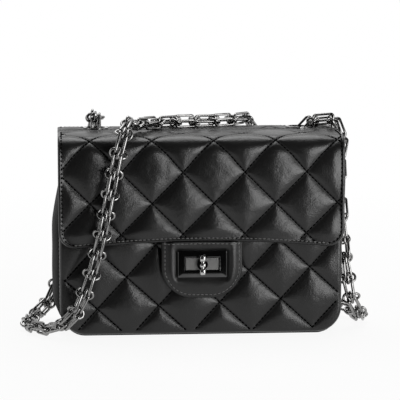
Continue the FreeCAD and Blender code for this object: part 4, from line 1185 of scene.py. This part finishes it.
def makeYoke():
    grommetX, grommetY = yoke["grommets"]
    seamDepth, seamIn, seamWidth = yoke["seam"]
    rimDrop, rimWide = yoke["rim"]
    xs = edged(-yoke["half"], yoke["half"], yoke["sides"], yoke["cell"])
    ys = edged(yoke["front"], yoke["rear"], yoke["frontRows"], yoke["cell"], yoke["rearRows"])

    def fromGrommet(x, y):
        return math.hypot(abs(x) - grommetX, y - grommetY)

    def quiltSeam(x, y):  # the flap's quilt lines run on over the yoke
        edge = min(yoke["half"] - abs(x), y - yoke["front"], yoke["rear"] - y)
        near = quiltAt(x - flap["quiltX"], flapRow(flap["hinge"][0] - y), flap["period"])[1]
        shows = smooth(*yoke["quiltFrom"], edge) * smooth(*yoke["seamClear"], fromGrommet(x, y))
        return hump(near, quilt["lineWidth"]) * shows

    def top(x, y):
        side = min(yoke["half"] - abs(x), y - yoke["front"])
        behind = yoke["rear"] - y
        inner = smooth(*yoke["swellFrom"], min(side, behind))
        away = fromGrommet(x, y)
        fall = yoke["roll"] - math.sqrt(yoke["roll"] ** 2 - (yoke["roll"] - min(yoke["roll"], behind)) ** 2)
        swell = yoke["swell"] * inner * smooth(*yoke["clear"], away)
        dip = seamDepth * hump(min(side, behind) - seamIn, seamWidth) * smooth(*yoke["seamClear"], away)
        rim = rimDrop * (1 - min(1.0, side / rimWide)) ** 2
        uneven = ripple(x, y, *yoke["uneven"]) * inner
        return yoke["top"] + swell - dip - fall - rim + uneven - yoke["groove"] * quiltSeam(x, y)

    def keep(i, j):
        return fromGrommet((xs[j] + xs[j + 1]) / 2, (ys[i] + ys[i + 1]) / 2) > yoke["hole"]

    upper = [[(x, y, top(x, y)) for x in xs] for y in ys]
    lower = [[(x, y, yoke["low"]) for x in xs] for y in ys]
    # the marks paint shade along the quilt lines on the yoke
    marks = [[quiltSeam(x, y) for x in xs] for y in ys]
    piece = slab("top_yoke_strip", upper, lower, edgeLeather, keep, marks, sharp=50)
    settle(piece, "leather", "shell", "top_yoke")


makeYoke()
print("yoke made")


# tab

tab = {
    "half": 28.5, "low": 28.0, "corner": 22.0, "face": -36.6, "back": -33.6, "stitchIn": 2.4, "puff": 2.2,
    "plate": (17.2, 9.4), "window": (13.05, 5.8), "stripTop": 78.5, "stripLow": 61.85, "stripBack": -32.6,
    "cell": 0.8, "level": -0.25, "fullFrom": (1, 7), "rollShare": 0.8, "uneven": (0.1, 7, 3.3),
    "underFlap": 0.35, "rowsAbove": 10, "overlap": 0.02,
}
tabLining = {
    "half": 27.0, "low": 29.5, "corner": 20.5, "top": 61.6, "face": -33.58, "back": -33.2, "cell": (2, 1.5),
}


def tabTop(x):
    return flapEdgeZ(x) - tab["underFlap"]


def tabHeight(x, z):
    margin = panelMargin(x, z, tab)
    plateX, plateZ = tab["plate"]
    toPlate = math.hypot(max(0.0, abs(x) - plateX), max(0.0, abs(z - lockMiddle) - plateZ))
    inner = max(0.0, margin - tab["stitchIn"])
    span = inner + toPlate
    swell = max(0.0, math.sin(math.pi * inner / span)) if span > 0.01 else 0.0
    high = tab["puff"] * swell * smooth(*tab["fullFrom"], span) + tab["level"]
    return high + edgeRoll(margin, tab["stitchIn"]) * tab["rollShare"] + ripple(x, z, *tab["uneven"])


def apart(rows, cuts, gap):  # drops the rows that come too near a cut
    return [z for z in rows if all(abs(z - cut) > gap for cut in cuts)]


def makeTab():
    half, cell, (windowX, windowZ) = tab["half"], tab["cell"], tab["window"]
    cuts = [lockMiddle - windowZ, lockMiddle + windowZ]
    foot = tab["low"] + tab["corner"]
    rows = apart([tab["low"] + tab["corner"] * (1 - math.cos(t)) for t in quarter(26)[:-1]], cuts, 0.4)
    rows = sorted(set(rows + steps(foot, cuts[1], cell) + [cuts[0]]))
    beside = [-half + d for d in edgeSteps[:-1]] + steps(-half + edgeSteps[-1], -windowX, cell)
    columns = beside + steps(-windowX, windowX, cell)[1:] + [-x for x in reversed(beside[:-1])]
    grid = panelGrid(rows, columns, tab)
    for i in range(1, tab["rowsAbove"] + 1):
        grid.append([(x, cuts[1] + (tabTop(x) - cuts[1]) * i / tab["rowsAbove"]) for x in columns])
    front, back = upright(grid, lambda x, z: tab["face"] - tabHeight(x, z)), upright(grid, tab["back"])
    keep = roundWindow(grid, windowX, windowZ, lockMiddle)
    piece = slab("tab_pad", front, back, edgeLeather, keep, sharp=50)
    settle(piece, "leather", "flap", "flap_tab")
    xs, zs = steps(-half, half, 4), steps(tab["stripLow"], tab["stripTop"], 2)
    strip = flatPiece("tab_strip", edgeLeather, xs, zs, tab["back"] + tab["overlap"], tab["stripBack"])
    settle(strip, "leather", "flap")
    spec = tabLining
    columnCell, rowCell = spec["cell"]
    rows = sorted(set(apart(panelRows(spec, spec["top"], rowCell), cuts, 0.3) + cuts))
    turns = (-spec["half"], -windowX, windowX, spec["half"])
    columns = sorted({x for a, b in zip(turns, turns[1:]) for x in steps(a, b, columnCell)})
    grid = panelGrid(rows, columns, spec)
    keep = roundWindow(grid, windowX, windowZ, lockMiddle)
    front, back = upright(grid, spec["face"]), upright(grid, spec["back"])
    settle(slab("tab_backing_sheet", front, back, liningLeather, keep), "lining", "flap", "tab_backing")


makeTab()
print("tab made")


# turn lock

plate = {
    "half": (17.2, 9.4), "corner": 1.0, "back": -36.6, "face": -39.0, "bevel": 0.38, "window": (12.25, 5.0),
    "slope": 0.5, "drop": 0.38, "band": 0.3,
}


def makePlate():
    corner, back, face, bevel, slope = (plate[key] for key in ("corner", "back", "face", "bevel", "slope"))
    band = plate["band"]
    outer = (  # inset, corner and depth
        (0, corner, back), (0, corner, face + bevel), (0.08, corner, face + bevel * 0.75),
        (bevel, corner * 0.8, face + 0.03), (bevel + band, corner * 0.7, face),
    )
    inner = ((slope + band, 0.7, face), (slope, 0.6, face), (0, 0.3, face + plate["drop"]), (0, 0.3, back))
    (wide, high), (openWide, openHigh) = plate["half"], plate["window"]
    shapes = [(wide - inset, high - inset, *rest) for inset, *rest in outer]
    shapes += [(openWide + outset, openHigh + outset, *rest) for outset, *rest in inner]
    rings = [
        [(x, y, lockMiddle + z) for x, z in roundedBox(halfWide, halfHigh, bend)]
        for halfWide, halfHigh, bend, y in shapes
    ]
    settle(ringLoft("lock_frame", rings, blackMetal, sharp=20), "black_metal", "flap", "lock_plate")


knob = {
    "half": 2.0, "back": -40.0, "deep": 4.3, "high": 7.0, "grooves": (-1.95, 1.95), "groove": 0.55,
    "neck": 0.5, "neckReach": 0.9, "ends": 0.74, "squareness": 6, "corner": 0.55,
    "rings": (0, 0.04, 0.12, 0.25, 0.5, 0.75, 0.88, 0.96, 1),
}


def knobRing(size, z):
    half, deep = knob["half"] * size, knob["deep"] * size
    outline = roundedBox(half, deep / 2, min(half, deep / 2) * knob["corner"], 4)
    return [(x, knob["back"] - deep / 2 + y, lockMiddle + z) for x, y in outline]


def makeKnob():  # three segments with rounded ends, and a neck between each two
    groove, ends = knob["groove"], knob["ends"]
    limits = [-knob["high"], *knob["grooves"], knob["high"]]
    rings = []
    for first, last in zip(limits, limits[1:]):
        low = first + (0 if first == limits[0] else groove)
        high = last - (0 if last == limits[-1] else groove)
        for share in knob["rings"]:
            bow = 1 - abs(2 * share - 1) ** knob["squareness"]
            rings.append(knobRing(ends + (1 - ends) * bow, low + (high - low) * share))
        if last < limits[-1]:
            reach = groove * knob["neckReach"]
            rings += [knobRing(knob["neck"], last - reach), knobRing(knob["neck"], last + reach)]
    piece = ringLoft("lock_turn_bar", rings, brightMetal, endless=False, sharp=50)
    settle(piece, "polished", "lock_turner", "lock_knob")


makePlate()
makeKnob()
print("lock made")


# stitches

stitch = {
    # quilt and side stitches use the thread darkened as painted shade, edge stitches the grey thread
    # painted as highlight
    "quilt": {"pitch": 0.0029, "size": (0.00058, 0.00058, 0.0013), "thread": shadedSeamThread},
    "side": {"pitch": 0.0030, "size": (0.0006, 0.0006, 0.00085), "thread": shadedSeamThread},
    "edge": {"pitch": 0.0030, "size": (0.00036, 0.00036, 0.00115), "thread": thread},
    "quiltProud": 0.3, "edgeProud": 0.15, "quiltMargin": 3.4, "step": 1.2, "longStep": 1.5,
    "flapFrom": (8, 6), "flapReach": 260, "tabFrom": 67.2, "belowFlap": 1.2,
    "gusset": {"in": 2.6, "below": 2, "sunk": 0.25, "offFloor": 0.35}, "yoke": {"in": 2.4, "sunk": 0.05},
    "tape": {"in": (1.5, 1.4), "proud": 0.1},
    "slip": {"half": 56.2, "low": 23.8, "side": (24, 92), "y": -24.04},
}


# lines of a quilt pattern as runs of points: toFlat gives a place on the piece, spotAt its point in space,
# and shows says whether the line is sewn there
def quiltRuns(toFlat, period, reach, spotAt, shows):
    runs = []
    count = math.ceil(2 * reach / period) + 1
    for way in (1, -1):
        for k in range(-count, count + 1):
            runs.append([])
            for p in steps(-reach, reach, stitch["step"]):
                x, v = toFlat(p, way * (k * period - p))
                if shows(x, v):
                    runs[-1].append(spotAt(x, v))
                elif runs[-1]:
                    runs.append([])
    return [run for run in runs if len(run) > 3]


def sewRuns(name, runs, body, kind):
    spots, edges = [], []
    for run in runs:
        start = len(spots)
        spots += [[c * mm for c in spot] for spot in run]
        edges += [(start + i, start + i + 1) for i in range(len(run) - 1)]
    mesh = bpy.data.meshes.new(name)
    mesh.from_pydata(spots, edges, [])
    look = stitch[kind]
    values = {"Pitch": look["pitch"], "Size": look["size"], "Material": look["thread"]}
    piece = settle(growPiece(name, mesh, stitchMaker, values), "leather", body)
    print(name, len(piece.data.polygons), "faces")


def tabStitches():  # down one side of the tab, round and up the other, and along its top
    inset, corner = tab["stitchIn"], tab["corner"]
    near, edge, foot = corner - inset, tab["half"] - inset, tab["low"] + corner

    def spotAt(x, z):
        return (x, tab["face"] - tabHeight(x, z) - stitch["edgeProud"], z)

    outline = [(-edge, z) for z in steps(stitch["tabFrom"], foot, stitch["step"])]
    for t in quarter(24)[1:-1]:
        outline.append((-tab["half"] + corner - near * math.cos(t), foot - near * math.sin(t)))
    outline += [(x, tab["low"] + inset) for x in steps(corner - tab["half"], 0, stitch["step"])]
    outline += [(-x, z) for x, z in reversed(outline[:-1])]
    topLine = [(x, tabTop(x) - stitch["belowFlap"]) for x in steps(-edge, edge, stitch["step"])]
    return [[spotAt(x, z) for x, z in line] for line in (outline, topLine)]


def flapStitches():
    quiltFrom, sideFrom = stitch["flapFrom"]

    def spotAt(x, s, proud=stitch["edgeProud"]):
        return flapPoint(x, s, flapHeight(x, s)[0] + proud)

    quiltLines = quiltRuns(
        lambda p, q: (p + flap["quiltX"], flapLength(q)), flap["period"], stitch["flapReach"],
        lambda x, s: spotAt(x, s, stitch["quiltProud"]),
        lambda x, s: quiltFrom < s < flapEdgeS(x) and flapMargin(x, s) > stitch["quiltMargin"],
    )
    sewRuns("flap_quilt_stitches", quiltLines, "flap", "quilt")
    inset = flap["stitchIn"]
    inner, near = flap["half"] - flap["corner"], flap["corner"] - inset
    foot = flapDown(flap["edge"] + flap["corner"])
    left = [(-flap["half"] + inset, s) for s in steps(sideFrom, foot, stitch["step"])]
    left += [(-inner - near * math.cos(t), foot + near * math.sin(t)) for t in quarter(10)[1:-1]]
    sides = [[spotAt(x, s) for x, s in left], [spotAt(-x, s) for x, s in left]]
    sewRuns("flap_side_stitches", sides, "flap", "side")
    lower = [spotAt(x, flapEdgeS(x) - inset) for x in steps(-inner, inner, stitch["step"])]
    sewRuns("flap_edge_stitches", [lower, *tabStitches()], "flap", "edge")


def panelStitches(spec):
    tilt = math.radians(spec["tilt"])
    clearX, clearZ = spec["lockClear"]

    def toPanel(p, q):
        x = spec["crossing"][0] + p * math.cos(tilt) - q * math.sin(tilt)
        return x, spec["crossing"][1] + p * math.sin(tilt) + q * math.cos(tilt)

    def spotAt(x, z):
        high = spec["outward"] * panelHeight(spec, x, z)[0]
        return (x, spec["face"] + high + spec["outward"] * stitch["quiltProud"], z)

    def shows(x, z):
        onPanel = spec["low"] < z < spec["top"] - spec["sewnTo"] and abs(x) < spec["half"]
        onLock = abs(x) < clearX and abs(z - lockMiddle) < clearZ
        return onPanel and not onLock and panelMargin(x, z, spec) > stitch["quiltMargin"]

    return quiltRuns(toPanel, spec["period"], spec["sewReach"], spotAt, shows)


def shellStitches():
    sewRuns("panel_quilt_stitches", panelStitches(frontPanel) + panelStitches(backPanel), "shell", "quilt")
    size = stitch["longStep"]
    edges = []
    row = stitch["gusset"]
    for y in (gussetStrip["front"] + row["in"], gussetStrip["rear"] - row["in"]):
        edges.append([])
        for x, z, nx, nz in stripPath(gussetStrip, size, row["below"]):
            out = gussetSwell(x, y, z) * abs(nx) - row["sunk"] * smooth(*gussetStrip["aboveFloor"], z)
            edges[-1].append((x + nx * out, y, z + nz * out + (row["offFloor"] if z < 1 else 0)))
    row = stitch["yoke"]
    half = yoke["half"] - row["in"]
    for y in (yoke["rear"] - row["in"], yoke["front"] + row["in"]):
        edges.append([(x, y, yoke["top"] - row["sunk"]) for x in steps(-half, half, size)])
    row = stitch["tape"]
    tapeHalf, parting, tapeWide = zipLine["tape"]
    half, reach = tapeHalf - row["in"][0], parting + tapeWide - row["in"][1]
    for z in (zipLine["height"] - reach, zipLine["height"] + reach):
        edges.append([(x, zipLine["face"] - row["proud"], z) for x in steps(-half, half, size)])
    row = stitch["slip"]
    half, (low, top) = row["half"], row["side"]
    slip = [(-half, z) for z in steps(top, low, size)] + [(x, row["low"]) for x in steps(-half, half, size)]
    slip += [(half, z) for z in steps(low, top, size)]
    edges.append([(x, row["y"], z) for x, z in slip])
    sewRuns("shell_edge_stitches", edges, "shell", "edge")


stitchMaker = stitchTree()
flapStitches()
shellStitches()


# floor, world and lights

studio = {
    "floor": {
        "half": 4.0, "front": -0.26, "back": 9.0, "near": (0.2, 0.75), "glow": (0.91, 1.0), "shade": 0.92,
    },
    "ambient": 0.12, "gloss": (0.03, 0.9), "glossFrom": (-0.15, 0.75), "middle": (0, 0, 0.07),
    "key": {"turn": 36, "rise": -2, "away": 1.5, "size": (0.9, 1.2), "power": 25},
    "top": {"turn": 180, "rise": 72, "away": 1.4, "size": (1.0, 1.0), "power": 13.5},
    "left": {"turn": -80, "rise": 10, "away": 1.6, "size": (0.6, 1.0), "power": 4.0},
    "right": {"turn": 84, "rise": 10, "away": 1.6, "size": (0.6, 1.0), "power": 5.0},
}


def spread(make, source, given, wanted, **settings):
    ends = {"From Min": given[0], "From Max": given[1], "To Min": wanted[0], "To Max": wanted[1]}
    return make("ShaderNodeMapRange", {"Value": source, **ends}, **settings).outputs[0]


def makeFloor():
    spec = studio["floor"]
    half, front, back = spec["half"], spec["front"], spec["back"]
    mesh = bpy.data.meshes.new("floor")
    corners = [(-half, front, 0), (half, front, 0), (half, back, 0), (-half, back, 0)]
    mesh.from_pydata(corners, [], [(0, 1, 2, 3)])
    floor = addObject("floor", mesh)
    material = bpy.data.materials.new("paleFloor")
    make = blankTree(material)
    matt = make("ShaderNodeBsdfDiffuse", {"Color": (*[spec["shade"]] * 3, 1)})
    glow = make("ShaderNodeEmission", {"Color": (1, 1, 1, 1), "Strength": 1.0})
    rays = make("ShaderNodeLightPath").outputs
    seen = compute(make, "MAXIMUM", rays["Is Camera Ray"], rays["Is Glossy Ray"])
    seen = compute(make, "MAXIMUM", seen, rays["Is Transmission Ray"])
    spot = make("ShaderNodeTexCoord").outputs["Object"]
    away = make("ShaderNodeVectorMath", {0: spot}, operation="LENGTH").outputs["Value"]
    whiter = spread(make, away, spec["near"], spec["glow"])  # the far floor is plain white
    share = compute(make, "MULTIPLY", seen, whiter)
    mixed = make("ShaderNodeMixShader", {0: share, 1: matt.outputs[0], 2: glow.outputs[0]})
    make("ShaderNodeOutputMaterial", {"Surface": mixed.outputs[0]})
    mesh.materials.append(material)


def makeWorld():
    world = bpy.data.worlds.new("studio")
    bpy.context.scene.world = world
    make = blankTree(world)
    rays = make("ShaderNodeLightPath").outputs
    way = make("ShaderNodeSeparateXYZ", {0: make("ShaderNodeTexCoord").outputs["Generated"]}).outputs
    behind = spread(make, way[1], studio["glossFrom"], studio["gloss"], interpolation_type="SMOOTHSTEP")
    seen = compute(make, "MAXIMUM", rays["Is Camera Ray"], rays["Is Transmission Ray"])
    level = studio["ambient"]
    for share, other in ((rays["Is Glossy Ray"], behind), (seen, 1.0)):
        level = make("ShaderNodeMix", {0: share, 2: level, 3: other}, data_type="FLOAT").outputs[0]
    sky = make("ShaderNodeBackground", {"Color": (1, 1, 1, 1), "Strength": level})
    make("ShaderNodeOutputWorld", {"Surface": sky.outputs[0]})


def makeLamp(name):
    spec = studio[name]
    way = heading(spec["turn"], spec["rise"])
    lamp = bpy.data.lights.new(name + "Lamp", "AREA")
    lamp.shape = "RECTANGLE"
    lamp.size, lamp.size_y = spec["size"]
    lamp.energy = spec["power"]
    holder = addObject(name + "Lamp", lamp)
    holder.location = Vector(studio["middle"]) + way * spec["away"]
    holder.rotation_euler = way.to_track_quat("Z", "Y").to_euler()


makeFloor()
makeWorld()
for lampName in ("key", "top", "left", "right"):
    makeLamp(lampName)
bpy.context.scene.view_settings.view_transform = "Standard"
print("studio lit")
